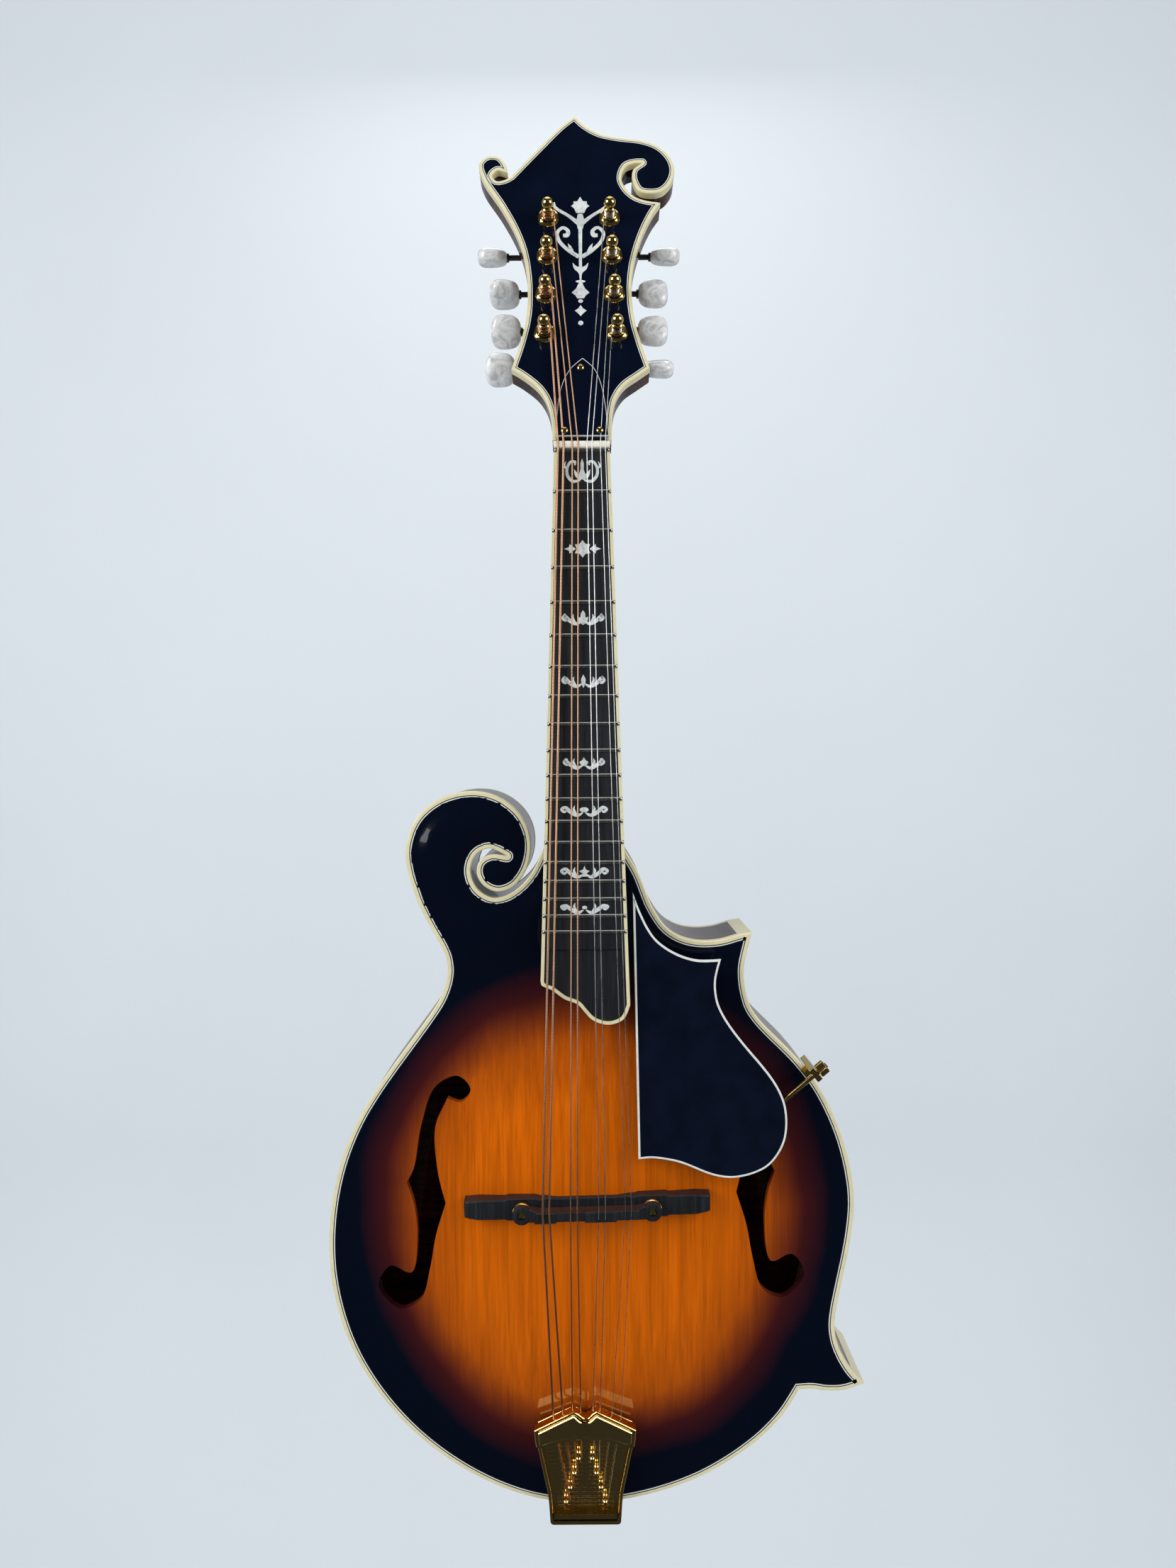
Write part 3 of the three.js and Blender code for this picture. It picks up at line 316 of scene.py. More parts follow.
def soften(bm, width, segments=2, angle=30):
    """Rounds the edges of a closed piece that turn by more than an angle."""
    bmesh.ops.recalc_face_normals(bm, faces=bm.faces)
    edges = [e for e in bm.edges if len(e.link_faces) == 2 and e.calc_face_angle(0) > math.radians(angle)]
    bmesh.ops.bevel(bm, geom=edges, offset=width, affect="EDGES", segments=segments, profile=0.5, material=-1,
                    clamp_overlap=True)
    return bm


def wire(bm, path, radius, sides=10):
    """A round rod or wire along a path of places; the radius may be one number for each place."""
    path = [Vector(p) for p in path]
    radii = [radius] * len(path) if isinstance(radius, (int, float)) else radius
    heading = (path[1] - path[0]).normalized()
    across = heading.orthogonal().normalized()
    loops = []
    for i, place in enumerate(path):
        ahead = path[min(i + 1, len(path) - 1)] - path[max(i - 1, 0)]
        ahead.normalize()
        across = (across - ahead * across.dot(ahead)).normalized()
        side = ahead.cross(across)
        loops.append([
            place + (across * math.cos(angle) + side * math.sin(angle)) * radii[i]
            for angle in (2 * math.pi * k / sides for k in range(sides))
        ])
    return skin(bm, loops)


def merged(*drawings):
    """One mesh out of several drawings."""
    whole = bmesh.new()
    for drawing in drawings:
        mesh = bpy.data.meshes.new("part")
        drawing.to_mesh(mesh)
        drawing.free()
        whole.from_mesh(mesh)
        bpy.data.meshes.remove(mesh)
    return whole


def boolean(stock, tool, operation):
    """The stock joined to, cut by or kept inside the tool."""
    objects = []
    for drawing in (stock, tool):
        bmesh.ops.remove_doubles(drawing, verts=drawing.verts, dist=1e-4)
        bmesh.ops.recalc_face_normals(drawing, faces=drawing.faces)
        mesh = bpy.data.meshes.new("blank")
        drawing.to_mesh(mesh)
        drawing.free()
        blank = bpy.data.objects.new("blank", mesh)
        bpy.context.scene.collection.objects.link(blank)
        objects.append(blank)
    modifier = objects[0].modifiers.new("cut", "BOOLEAN")
    modifier.operation = operation
    modifier.solver = "MANIFOLD"
    modifier.object = objects[1]
    bpy.context.view_layer.update()
    result = bmesh.new()
    result.from_object(objects[0], bpy.context.evaluated_depsgraph_get())
    for blank in objects:
        mesh = blank.data
        bpy.data.objects.remove(blank)
        bpy.data.meshes.remove(mesh)
    if not result.faces:
        raise RuntimeError(f"a {operation.lower()} left nothing")
    return result


def deliver(bm, name, place, finish, body="instrument", stands_for=(), crease=35):
    """Puts a finished drawing in its place as a piece that rides on a body and takes a finish."""
    bmesh.ops.remove_doubles(bm, verts=bm.verts, dist=2e-3)
    bmesh.ops.dissolve_degenerate(bm, edges=bm.edges, dist=1e-4)
    bmesh.ops.transform(bm, matrix=place, verts=bm.verts)
    bmesh.ops.recalc_face_normals(bm, faces=bm.faces)
    bmesh.ops.triangulate(bm, faces=[f for f in bm.faces if len(f.verts) > 4])
    mesh = bpy.data.meshes.new(name)
    bm.to_mesh(mesh)
    bm.free()
    mesh.shade_smooth()
    mesh.set_sharp_from_angle(angle=math.radians(crease))
    mesh.materials.append(finish_named(finish))
    piece = bpy.data.objects.new(name, mesh)
    bpy.context.scene.collection.objects.link(piece)
    weighted = piece.modifiers.new("even shading", "WEIGHTED_NORMAL")
    weighted.keep_sharp = True
    if stands_for:
        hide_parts(*stands_for)
    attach(piece, body)
    return piece


# ---- Finishes ------------------------------------------------------------------------------------


class Finish:
    """A material whose colour, gloss and relief come from a small tree of nodes."""

    def __init__(self, name, **values):
        self.material = bpy.data.materials.new(name)
        self.material.use_nodes = True
        self.tree = self.material.node_tree
        self.shader = self.tree.nodes["Principled BSDF"]
        for socket, value in values.items():
            self.shader.inputs[socket.replace("_", " ")].default_value = value
        self.place = self.node("ShaderNodeTexCoord").outputs["Object"]

    def node(self, kind, values=(), **settings):
        made = self.tree.nodes.new(kind)
        for key, value in settings.items():
            setattr(made, key, value)
        for socket, value in dict(values).items():
            if isinstance(value, bpy.types.NodeSocket):
                self.tree.links.new(value, made.inputs[socket])
            else:
                made.inputs[socket].default_value = value
        return made

    def mapped(self, scale, turn=(0, 0, 0), shift=(0, 0, 0)):
        values = {"Vector": self.place, "Scale": scale, "Rotation": turn, "Location": shift}
        return self.node("ShaderNodeMapping", values).outputs["Vector"]

    def noise(self, scale, detail=4.0, roughness=0.5, distortion=0.0):
        values = {"Vector": self.mapped(scale), "Scale": 1.0, "Detail": detail, "Roughness": roughness,
                  "Distortion": distortion}
        return self.node("ShaderNodeTexNoise", values).outputs["Fac"]

    def ramp(self, value, *stops):
        """A colour or grey ramp: each stop is a position and a colour or a grey."""
        made = self.node("ShaderNodeValToRGB", {"Fac": value})
        elements = made.color_ramp.elements
        while len(elements) < len(stops):
            elements.new(1.0)
        for element, (position, colour) in zip(elements, stops):
            element.position = position
            element.color = (*colour, 1) if isinstance(colour, tuple) else (colour, colour, colour, 1)
        return made.outputs["Color"]

    def math(self, operation, first, second=0.0):
        return self.node("ShaderNodeMath", {0: first, 1: second}, operation=operation).outputs[0]

    def mix(self, share, first, second, blend="MIX"):
        values = {"Factor": share, "A": first, "B": second}
        made = self.node("ShaderNodeMix", data_type="RGBA", blend_type=blend)
        sockets = {"Factor": made.inputs["Factor"], "A": made.inputs[6], "B": made.inputs[7]}
        for key, value in values.items():
            if isinstance(value, bpy.types.NodeSocket):
                self.tree.links.new(value, sockets[key])
            else:
                sockets[key].default_value = value if key == "Factor" else (*value, 1)
        return made.outputs[2]

    def relief(self, height, depth, strength=1.0):
        values = {"Height": height, "Distance": depth * MM, "Strength": strength}
        self.feed("Normal", self.node("ShaderNodeBump", values).outputs["Normal"])

    def feed(self, socket, value):
        self.tree.links.new(value, self.shader.inputs[socket])
        return self


def lacquered(name, roughness=0.1):
    """The polished clear coat shared by every lacquered part."""
    return Finish(name, Roughness=roughness, Specular_IOR_Level=0.1, Coat_Weight=0.4, Coat_Roughness=0.04,
                  Coat_IOR=1.45)


def orange_peel(finish, depth=0.006):
    finish.relief(finish.noise((180, 180, 180), 2.0), depth, 0.5)


def grown_grain(finish, across, along, rings=1.0):
    """Streaks of wood grain that run up the instrument."""
    broad = finish.noise((across * 0.28, across * 0.2, along * 0.35), 3.0, 0.55, 0.4)
    fine = finish.noise((across, across * 0.4, along), 6.0, 0.62, 0.2)
    broad = finish.math("MULTIPLY", broad, 0.45 * rings)
    return finish.math("ADD", broad, finish.math("MULTIPLY", fine, 0.55))


def sunburst_spruce():
    colours = bpy.context.scene.mandolin_colours
    finish = lacquered("sunburst_spruce", 0.14)
    grain = grown_grain(finish, 900, 22)
    bright = tuple(colours.burst_heart)
    deep = tuple(c * 0.62 for c in colours.burst_heart)
    amber = finish.ramp(grain, (0.36, deep), (0.62, bright))
    centred = finish.mapped((1 / 0.118, 0.0, 1 / 0.128), shift=(-0.003 / 0.118, 0, 0.3675 / 0.128))
    reach = finish.node("ShaderNodeVectorMath", {0: centred}, operation="LENGTH").outputs["Value"]
    wander = finish.noise((14, 14, 14), 2.0)
    reach = finish.math("ADD", reach, finish.math("MULTIPLY", finish.math("SUBTRACT", wander, 0.5), 0.16))
    fading = finish.ramp(reach, (0.50, 0.0), (0.68, 0.35), (0.86, 1.0))
    ember = finish.mix(fading, amber, tuple(colours.burst_ember))
    dark = finish.mix(finish.ramp(reach, (0.70, 0.0), (0.98, 1.0)), ember, tuple(colours.lacquer))
    finish.feed("Base Color", dark)
    orange_peel(finish)
    return finish


def dark_lacquer():
    """Figured maple under a very dark stain."""
    colours = bpy.context.scene.mandolin_colours
    finish = lacquered("dark_lacquer")
    flame = finish.noise((26, 26, 210), 3.0, 0.55, 1.2)
    fine = finish.noise((700, 700, 30), 4.0)
    figure = finish.math("ADD", finish.math("MULTIPLY", flame, 0.75), finish.math("MULTIPLY", fine, 0.25))
    edge = tuple(colours.lacquer)
    stain = tuple(colours.back_stain)
    half_stain = tuple(c * 0.5 for c in stain)
    finish.feed("Base Color", finish.ramp(figure, (0.38, edge), (0.5, half_stain), (0.66, stain)))
    orange_peel(finish)
    return finish


def black_lacquer():
    colours = bpy.context.scene.mandolin_colours
    finish = lacquered("black_lacquer", 0.08)
    tone = finish.noise((60, 60, 60), 3.0)
    lacquer = tuple(colours.lacquer)
    finish.feed("Base Color", finish.ramp(tone, (0.3, lacquer), (0.8, tuple(c * 1.7 for c in lacquer))))
    orange_peel(finish)
    return finish


def pickguard_plastic():
    colours = bpy.context.scene.mandolin_colours
    finish = Finish("pickguard_plastic", Roughness=0.16, IOR=1.4, Coat_Weight=0.2, Coat_Roughness=0.05)
    tone = finish.noise((90, 90, 90), 3.0)
    sheet = tuple(colours.lacquer)
    finish.feed("Base Color", finish.ramp(tone, (0.3, sheet), (0.75, tuple(c * 1.9 for c in sheet))))
    finish.relief(finish.noise((1400, 1400, 1400), 3.0), 0.002, 0.4)
    return finish


def ivoroid():
    """Cream binding with the faint straight grain of old celluloid."""
    cream = tuple(bpy.context.scene.mandolin_colours.binding)
    finish = Finish("ivoroid", Roughness=0.28, IOR=1.5, Coat_Weight=0.4, Coat_Roughness=0.06)
    lines = finish.noise((220, 900, 220), 4.0, 0.6, 0.3)
    finish.feed("Base Color", finish.ramp(lines, (0.3, tuple(c * 0.86 for c in cream)), (0.7, cream)))
    finish.feed("Roughness", finish.ramp(lines, (0.3, 0.34), (0.7, 0.24)))
    return finish


def white_line():
    finish = Finish("white_line", Roughness=0.25, Coat_Weight=0.4, Coat_Roughness=0.06)
    tone = finish.noise((400, 400, 400), 3.0)
    finish.feed("Base Color", finish.ramp(tone, (0.3, (0.62, 0.63, 0.58)), (0.7, (0.74, 0.75, 0.70))))
    return finish


def black_line():
    finish = Finish("black_line", Roughness=0.22, Coat_Weight=0.4, Coat_Roughness=0.06)
    tone = finish.noise((400, 400, 400), 3.0)
    finish.feed("Base Color", finish.ramp(tone, (0.3, (0.004, 0.004, 0.005)), (0.7, (0.009, 0.009, 0.011))))
    return finish


def bare_wood(name, colour, across, along, rough=0.72):
    finish = Finish(name, Roughness=rough)
    grain = grown_grain(finish, across, along)
    finish.feed("Base Color", finish.ramp(grain, (0.36, tuple(c * 0.7 for c in colour)), (0.6, colour)))
    finish.relief(grain, 0.05, 0.5)
    return finish


def bare_spruce():
    return bare_wood("bare_spruce", (0.60, 0.42, 0.22), 700, 16)


def bare_maple():
    return bare_wood("bare_maple", (0.54, 0.35, 0.17), 420, 40)


def ebony():
    """Close dark grain with short open pores."""
    black = tuple(bpy.context.scene.mandolin_colours.ebony)
    finish = Finish("ebony", Roughness=0.42, IOR=1.5)
    grain = grown_grain(finish, 1300, 26)
    pores = finish.noise((2600, 2600, 90), 2.0, 0.4)
    finish.feed("Base Color", finish.ramp(grain, (0.34, tuple(c * 0.55 for c in black)), (0.52, black),
                                          (0.68, tuple(c * 1.9 for c in black))))
    finish.feed("Roughness", finish.ramp(grain, (0.3, 0.34), (0.7, 0.5)))
    finish.relief(finish.ramp(pores, (0.30, 0.0), (0.42, 1.0)), 0.03, 0.6)
    return finish


def bone():
    finish = Finish("bone", Roughness=0.35, IOR=1.5)
    fibres = finish.noise((90, 900, 1200), 4.0)
    finish.feed("Base Color", finish.ramp(fibres, (0.3, (0.66, 0.61, 0.48)), (0.7, (0.83, 0.80, 0.70))))
    finish.relief(fibres, 0.01, 0.4)
    return finish


def mother_of_pearl():
    """Cut shell: soft bands that shift between warm, cool and grey white."""
    finish = Finish("mother_of_pearl", Roughness=0.2, IOR=1.6, Coat_Weight=0.6, Coat_Roughness=0.04)
    bands = finish.noise((300, 300, 300), 3.0, 0.5, 2.2)
    tint = finish.ramp(bands, (0.30, (0.42, 0.47, 0.46)), (0.42, (0.66, 0.62, 0.60)), (0.50, (0.60, 0.68, 0.66)),
                       (0.60, (0.78, 0.76, 0.70)), (0.74, (0.50, 0.56, 0.60)))
    finish.feed("Base Color", tint)
    finish.relief(bands, 0.01, 0.3)
    return finish


def pearloid():
    """Button plastic with drifting milky swirls."""
    finish = Finish("pearloid", Roughness=0.16, IOR=1.5, Coat_Weight=0.5, Coat_Roughness=0.04,
                    Subsurface_Weight=0.25, Subsurface_Scale=0.004)
    swirl = finish.noise((120, 120, 120), 3.0, 0.5, 3.0)
    finish.feed("Base Color", finish.ramp(swirl, (0.30, (0.50, 0.50, 0.50)), (0.48, (0.70, 0.69, 0.67)),
                                          (0.66, (0.84, 0.84, 0.82))))
    return finish


def metal(name, dark, light, roughness, scratch=0.35, scale=900):
    finish = Finish(name, Metallic=1.0, Roughness=roughness)
    tone = finish.noise((160, 160, 160), 3.0)
    finish.feed("Base Color", finish.ramp(tone, (0.3, dark), (0.7, light)))
    worn = finish.noise((scale, scale, scale * 0.1), 4.0, 0.6)
    finish.feed("Roughness", finish.ramp(worn, (0.3, roughness * 0.6), (0.75, roughness * (1 + scratch))))
    return finish


def gold_plate():
    gold = tuple(bpy.context.scene.mandolin_colours.gold)
    finish = metal("gold_plate", tuple(c * 0.9 for c in gold), gold, 0.12)
    finish.relief(finish.noise((260, 260, 260), 2.0), 0.01, 0.25)
    return finish


def brass():
    return metal("brass", (0.62, 0.40, 0.10), (0.80, 0.56, 0.20), 0.26)


def steel():
    return metal("steel", (0.70, 0.70, 0.69), (0.86, 0.86, 0.85), 0.34)


def fret_nickel():
    return metal("fret_nickel", (0.52, 0.52, 0.48), (0.74, 0.73, 0.68), 0.24)


def wound(name, dark, light, turns):
    """String winding: fine turns across the wire."""
    finish = Finish(name, Metallic=1.0, Roughness=0.3)
    values = {"Vector": finish.mapped((1, 1, 1)), "Scale": turns, "Distortion": 0.0, "Detail": 0.0}
    rings = finish.node("ShaderNodeTexWave", values, bands_direction="Z").outputs["Fac"]
    finish.feed("Base Color", finish.ramp(rings, (0.15, dark), (0.6, light)))
    finish.relief(rings, 0.06, 0.8)
    return finish


def bronze():
    return wound("bronze", (0.42, 0.20, 0.10), (0.88, 0.56, 0.36), 480)


def dark_fitting():
    """Blackened shafts and bushings."""
    finish = Finish("dark_fitting", Roughness=0.3, IOR=1.5, Metallic=0.0)
    tone = finish.noise((500, 500, 500), 3.0)
    finish.feed("Base Color", finish.ramp(tone, (0.3, (0.006, 0.006, 0.007)), (0.7, (0.016, 0.016, 0.018))))
    finish.relief(tone, 0.005, 0.4)
    return finish


# Each finish, with the slot of the parts list that it belongs to.
FINISHES = {
    "sunburst_spruce": (sunburst_spruce, "sunburst_spruce"),
    "dark_lacquer": (dark_lacquer, "dark_lacquer"),
    "black_lacquer": (black_lacquer, "black_lacquer"),
    "pickguard_plastic": (pickguard_plastic, "pickguard_plastic"),
    "ivoroid": (ivoroid, "ivoroid"),
    "white_line": (white_line, "ivoroid"),
    "black_line": (black_line, "black_lacquer"),
    "bare_spruce": (bare_spruce, "bare_spruce"),
    "bare_maple": (bare_maple, "bare_maple"),
    "ebony": (ebony, "ebony"),
    "bone": (bone, "bone"),
    "mother_of_pearl": (mother_of_pearl, "pearloid"),
    "pearloid": (pearloid, "pearloid"),
    "gold_plate": (gold_plate, "gold_plate"),
    "brass": (brass, "brass"),
    "steel": (steel, "steel"),
    "fret_nickel": (fret_nickel, "steel"),
    "bronze": (bronze, "bronze"),
    "dark_fitting": (dark_fitting, "black_lacquer"),
}


def finish_named(name):
    known = bpy.data.materials.get(f"mandolin_{name}")
    if known:
        return known
    made = FINISHES[name][0]().material
    made.name = f"mandolin_{name}"
    return made


# ---- Body ----------------------------------------------------------------------------------------

PLATE_INSET = 2.3
HOLLOW_WIDTH = 9.0  # width over which the scroll's ridge rises from inside the binding
SCROLL_CENTRE = (-50, -192)
SCROLL_RIDGE = 2.4


def body_outline():
    return Outline(section("top_binding", BODY, 2.0)[0], BODY_CORNERS)


def dome(x, z):
    """Height of the carved dome: flat on top, falling in an S to nothing at its rim."""
    out = np.hypot((x - ARCH_CENTRE[0]) / ARCH_REACH[0], (z - ARCH_CENTRE[1]) / ARCH_REACH[1])
    return np.cos(np.pi / 2 * np.minimum(out, 1) ** 1.5) ** 2


def eased(value):
    value = np.clip(value, 0, 1)
    return value * value * (3 - 2 * value)


def scroll_ridge(places, outline):
    """Height of the ridge that is carved round the scroll, which dies away into the body."""
    near = eased((58 - np.hypot(places[:, 0] - SCROLL_CENTRE[0], places[:, 1] - SCROLL_CENTRE[1])) / 22)
    wanted = near > 0
    ridge = np.zeros(len(places))
    ridge[wanted] = near[wanted] * eased((outline.distance(places[wanted]) - 3.4) / HOLLOW_WIDTH)
    return ridge * SCROLL_RIDGE


def sound_hole(side):
    """Outline of one sound hole; the treble one mirrors the bass one."""
    points = np.vstack([curve_through(run, 3.0)[:-1] for run in SOUND_HOLE])
    corners = np.array([run[0] for run in SOUND_HOLE], float)
    if side > 0:
        points = np.array(TREBLE_HOLE_SHIFT) + points * (-1, 1)
        corners = np.array(TREBLE_HOLE_SHIFT) + corners * (-1, 1)
    if cross(points, np.roll(points, -1, 0)).sum() < 0:
        points = points[::-1]
    return Outline(points, corners, step=1.0, clear=0.5)


def carved_plate(outline, front, rise, direction):
    """A plate of even thickness, carved to the dome and cut to its outline."""
    bm = bmesh.new()
    sheet = Matrix.Translation((5, 0, -335)) @ Matrix.Rotation(math.radians(90), 4, "X") @ Matrix.Diagonal(
        (280, 360, 1, 1))
    bmesh.ops.create_grid(bm, x_segments=94, y_segments=120, size=0.5, matrix=sheet)
    places = np.array([(v.co.x, v.co.z) for v in bm.verts])
    depth = direction * rise * dome(places[:, 0], places[:, 1])
    if direction < 0:
        depth -= scroll_ridge(places, outline)
    for vert, y in zip(bm.verts, depth):
        vert.co.y = front + y
    sheet = bm.faces[:] + bm.edges[:] + bm.verts[:]
    back = bmesh.ops.extrude_face_region(bm, geom=sheet, use_keep_orig=True)["geom"]
    verts = [g for g in back if isinstance(g, bmesh.types.BMVert)]
    bmesh.ops.translate(bm, verts=verts, vec=(0, PLATE_THICKNESS, 0))
    edge = board(bmesh.new(), outline, [(PLATE_INSET, front - 30), (PLATE_INSET, front + 30)])
    return boolean(bm, edge, "INTERSECT")


def build_plates():
    outline = body_outline()
    top = carved_plate(outline, 0, FRONT_ARCH, -1)
    for side in (-1, 1):
        top = boolean(top, board(bmesh.new(), sound_hole(side), [(0, -40), (0, 40)]), "DIFFERENCE")
    deliver(top, "carved_top", BODY, "sunburst_spruce", stands_for=["top_plate"])
    back = carved_plate(outline, RIB_HEIGHT - PLATE_THICKNESS, BACK_ARCH, 1)
    deliver(back, "carved_back", BODY, "dark_lacquer", stands_for=["back_plate"])


def binding_profile(front, back, width=2.0, soft=0.7):
    """Cross-section of a binding, with its outer edge rounded where it faces out."""
    turn = [(soft * (1 - math.cos(a)), soft * (1 - math.sin(a))) for a in np.linspace(0, math.pi / 2, 5)]
    direction = 1 if back > front else -1
    return [(0.0, back)] + [(inwards, front + direction * depth) for inwards, depth in turn] + [
        (width, front), (width, back)]


def line_profile(start, end, front, back):
    return [(start, back), (start, front), (end, front), (end, back)]


def build_bindings():
    outline = body_outline()
    for name, front, back in (("top_binding", 0.0, 4.45), ("back_binding", RIB_HEIGHT, RIB_HEIGHT - 4.45)):
        ring = strip(bmesh.new(), outline, binding_profile(front, back))
        deliver(ring, f"{name}_strip", BODY, "ivoroid", stands_for=[name])
    for name, start, end, finish in (("outer", 2.0, 2.45, "black_line"), ("middle", 2.45, 2.95, "white_line"),
                                     ("inner", 2.95, 3.45, "black_line")):
        for side, front, back, rise in (("top", -0.05, 0.6, -FRONT_ARCH),
                                        ("back", RIB_HEIGHT + 0.05, RIB_HEIGHT - 0.6, BACK_ARCH)):
            lift = (lambda places, rise=rise: rise * dome(places[:, 0], places[:, 1]))
            ring = strip(bmesh.new(), outline, line_profile(start, end, front, back), lift)
            deliver(ring, f"{side}_line_{name}", BODY, finish)


def side_patch(outline, tip, reach, profile):
    """A strip along the part of an outline near a tip, such as a point's side cap."""
    middle = int(np.argmin(np.linalg.norm(outline.points - tip, axis=1)))
    count = len(outline.points)
    order = [(middle + i) % count for i in range(-60, 61)]
    near = [i for i in order if np.linalg.norm(outline.points[i] - tip) < reach]
    loops = []
    for i in near:
        section_loop = []
        for inwards, depth in profile:
            x, z = outline.points[i] + outline.slopes[i] * inwards
            section_loop.append((x, depth, z))
        loops.append(section_loop)
    return skin(bmesh.new(), loops)


def build_ribs():
    outline = body_outline()
    rib = strip(bmesh.new(), outline, line_profile(0.12, 2.2, 4.42, RIB_HEIGHT - 4.42))
    deliver(rib, "ribs", BODY, "dark_lacquer", stands_for=["rim"])
    for name, tip in (("upper", (80.8, -230.8)), ("lower", (135, -451.9))):
        profile = [(0.02, RIB_HEIGHT - 4.43), (0.02, 4.43), (1.0, 4.43), (1.0, RIB_HEIGHT - 4.43)]
        cap = side_patch(outline, np.array(tip, float), 8.0, profile)
        deliver(cap, f"point_cap_{name}", BODY, "ivoroid")


# ---- Neck and headstock --------------------------------------------------------------------------

JOINT_Z = -190.5
BOARD_HALF_WIDTH = 13.5
BOARD_FLARE = 0.0284
HEEL_CAP_FRONT = 45.2


def board_half_width(down):
    return BOARD_HALF_WIDTH + BOARD_FLARE * max(down, 0)


def neck_depth(down):
    """Depth of the neck's wood down from the zero fret: a slow taper, then the sweep of the heel."""
    taper = 15 + 0.016 * max(down, 0)
    into_head = min(max(-down / 18, 0), 1)
    heel = min(max((down - 146) / 44, 0), 1)
    return taper * (1 - 0.45 * into_head ** 1.3) + 51 * heel ** 2.6


def shaft_sections():
    """Half-round sections of the neck from inside the headstock to inside the heel."""
    stations = np.concatenate([np.linspace(-18, 6, 9), np.linspace(12, 140, 17), np.linspace(144, 198, 28)])
    for down in stations:
        into_head = max(-down - 4, 0)
        half = board_half_width(down) - 0.1 - into_head * 0.1
        front = BOARD_THICKNESS + 0.05 + into_head * 0.2
        angles = np.linspace(0, math.pi, 33)
        yield [(half * math.cos(a), front + math.sin(a) * neck_depth(down), -down) for a in angles]


def trimmed(bm, place, normal):
    """Cuts off what lies beyond a plane and closes the cut."""
    made = bmesh.ops.bisect_plane(bm, geom=bm.verts[:] + bm.edges[:] + bm.faces[:], dist=1e-4, plane_co=place,
                                  plane_no=normal, clear_outer=True)
    rim = [g for g in made["geom_cut"] if isinstance(g, bmesh.types.BMEdge)]
    bmesh.ops.edgenet_fill(bm, edges=rim)
    return bm


def head_outline():
    run = outer_run(section("headstock_binding", HEAD, 2.0)[0], HEAD_CORNERS[0], HEAD_CORNERS[-1])
    return Outline(run, HEAD_CORNERS, step=1.2, clear=2.0, square_end=run[0][1])


def build_neck():
    shaft = skin(bmesh.new(), list(shaft_sections()))
    bmesh.ops.transform(shaft, matrix=BODY.inverted() @ NECK, verts=shaft.verts)
    shaft = trimmed(shaft, (0, 0, JOINT_Z + 0.1), (0, 0, -1))
    shaft = trimmed(shaft, (0, HEEL_CAP_FRONT - 0.1, 0), (0, 1, 0))
    core = board(bmesh.new(), head_outline(), [
        (1.2, HEAD_THICKNESS), (0.35, HEAD_THICKNESS - 0.25), (0.05, HEAD_THICKNESS - 1.0), (0.05, 4.05),
    ])
    bmesh.ops.transform(core, matrix=BODY.inverted() @ HEAD, verts=core.verts)
    neck = boolean(shaft, core, "UNION")
    slope = math.tan(math.radians(3.6))
    under = [(-1.8 + z * slope + BOARD_THICKNESS + 0.05, z) for z in (JOINT_Z + 0.1, -236)]
    riser = bmesh.new()
    skin(riser, [[(x, y, z) for y, z in [under[0], (-0.05, under[0][1]), (-0.05, under[1][1]), under[1]]]
                 for x in (-16, 16)])
    deliver(merged(neck, riser), "neck_and_head", BODY, "dark_lacquer", stands_for=["neck"])

    plan = [(8.5 * math.cos(a), 8 * math.sin(a)) for a in np.linspace(0, math.pi, 25)]
    cap = skin(bmesh.new(), [[(x * s, y, JOINT_Z + 0.1 + z * s) for x, z in plan]
                             for y, s in ((HEEL_CAP_FRONT - 0.1, 1), (46.4, 1), (46.9, 0.95), (47.0, 0.85))])
    deliver(cap, "heel_plate", BODY, "ivoroid", stands_for=["heel_cap"])


def build_headstock():
    outline = head_outline()
    face = board(bmesh.new(), outline, [(1.7, 1.7), (1.7, 0.0)])
    deliver(face, "head_face", HEAD, "black_lacquer", stands_for=["headstock_overlay"])
    ring = strip(bmesh.new(), outline, binding_profile(0.0, 4.1, 1.7, 0.6), whole=False)
    deliver(ring, "head_binding", HEAD, "ivoroid", stands_for=["headstock_binding"])
    for name, start, end, finish in (("outer", 1.7, 2.05, "black_line"),
                                     ("middle", 2.05, 2.45, "white_line")):
        line = strip(bmesh.new(), outline, line_profile(start, end, -0.04, 0.4), whole=False)
        deliver(line, f"head_line_{name}", HEAD, finish)

    cover = Outline(section("truss_rod_cover", HEAD, -1.0)[0], COVER_CORNERS, step=1.0, clear=1.0)
    sheet = board(bmesh.new(), cover, [(0.3, -0.3), (0.3, -1.5), (0.6, -1.8)])
    deliver(sheet, "rod_cover", HEAD, "black_lacquer", stands_for=["truss_rod_cover"])
    edge = strip(bmesh.new(), cover, line_profile(0.0, 0.32, -1.45, -0.3))
    deliver(edge, "rod_cover_edge", HEAD, "white_line")
    for i, (x, z) in enumerate(((-0.4, 36.3), (-8.2, 3.1), (8.6, 3.1))):
        deliver(screw_head(1.75, x, -1.75, z, 20 * i), f"rod_cover_screw_{i + 1}", HEAD, "gold_plate")


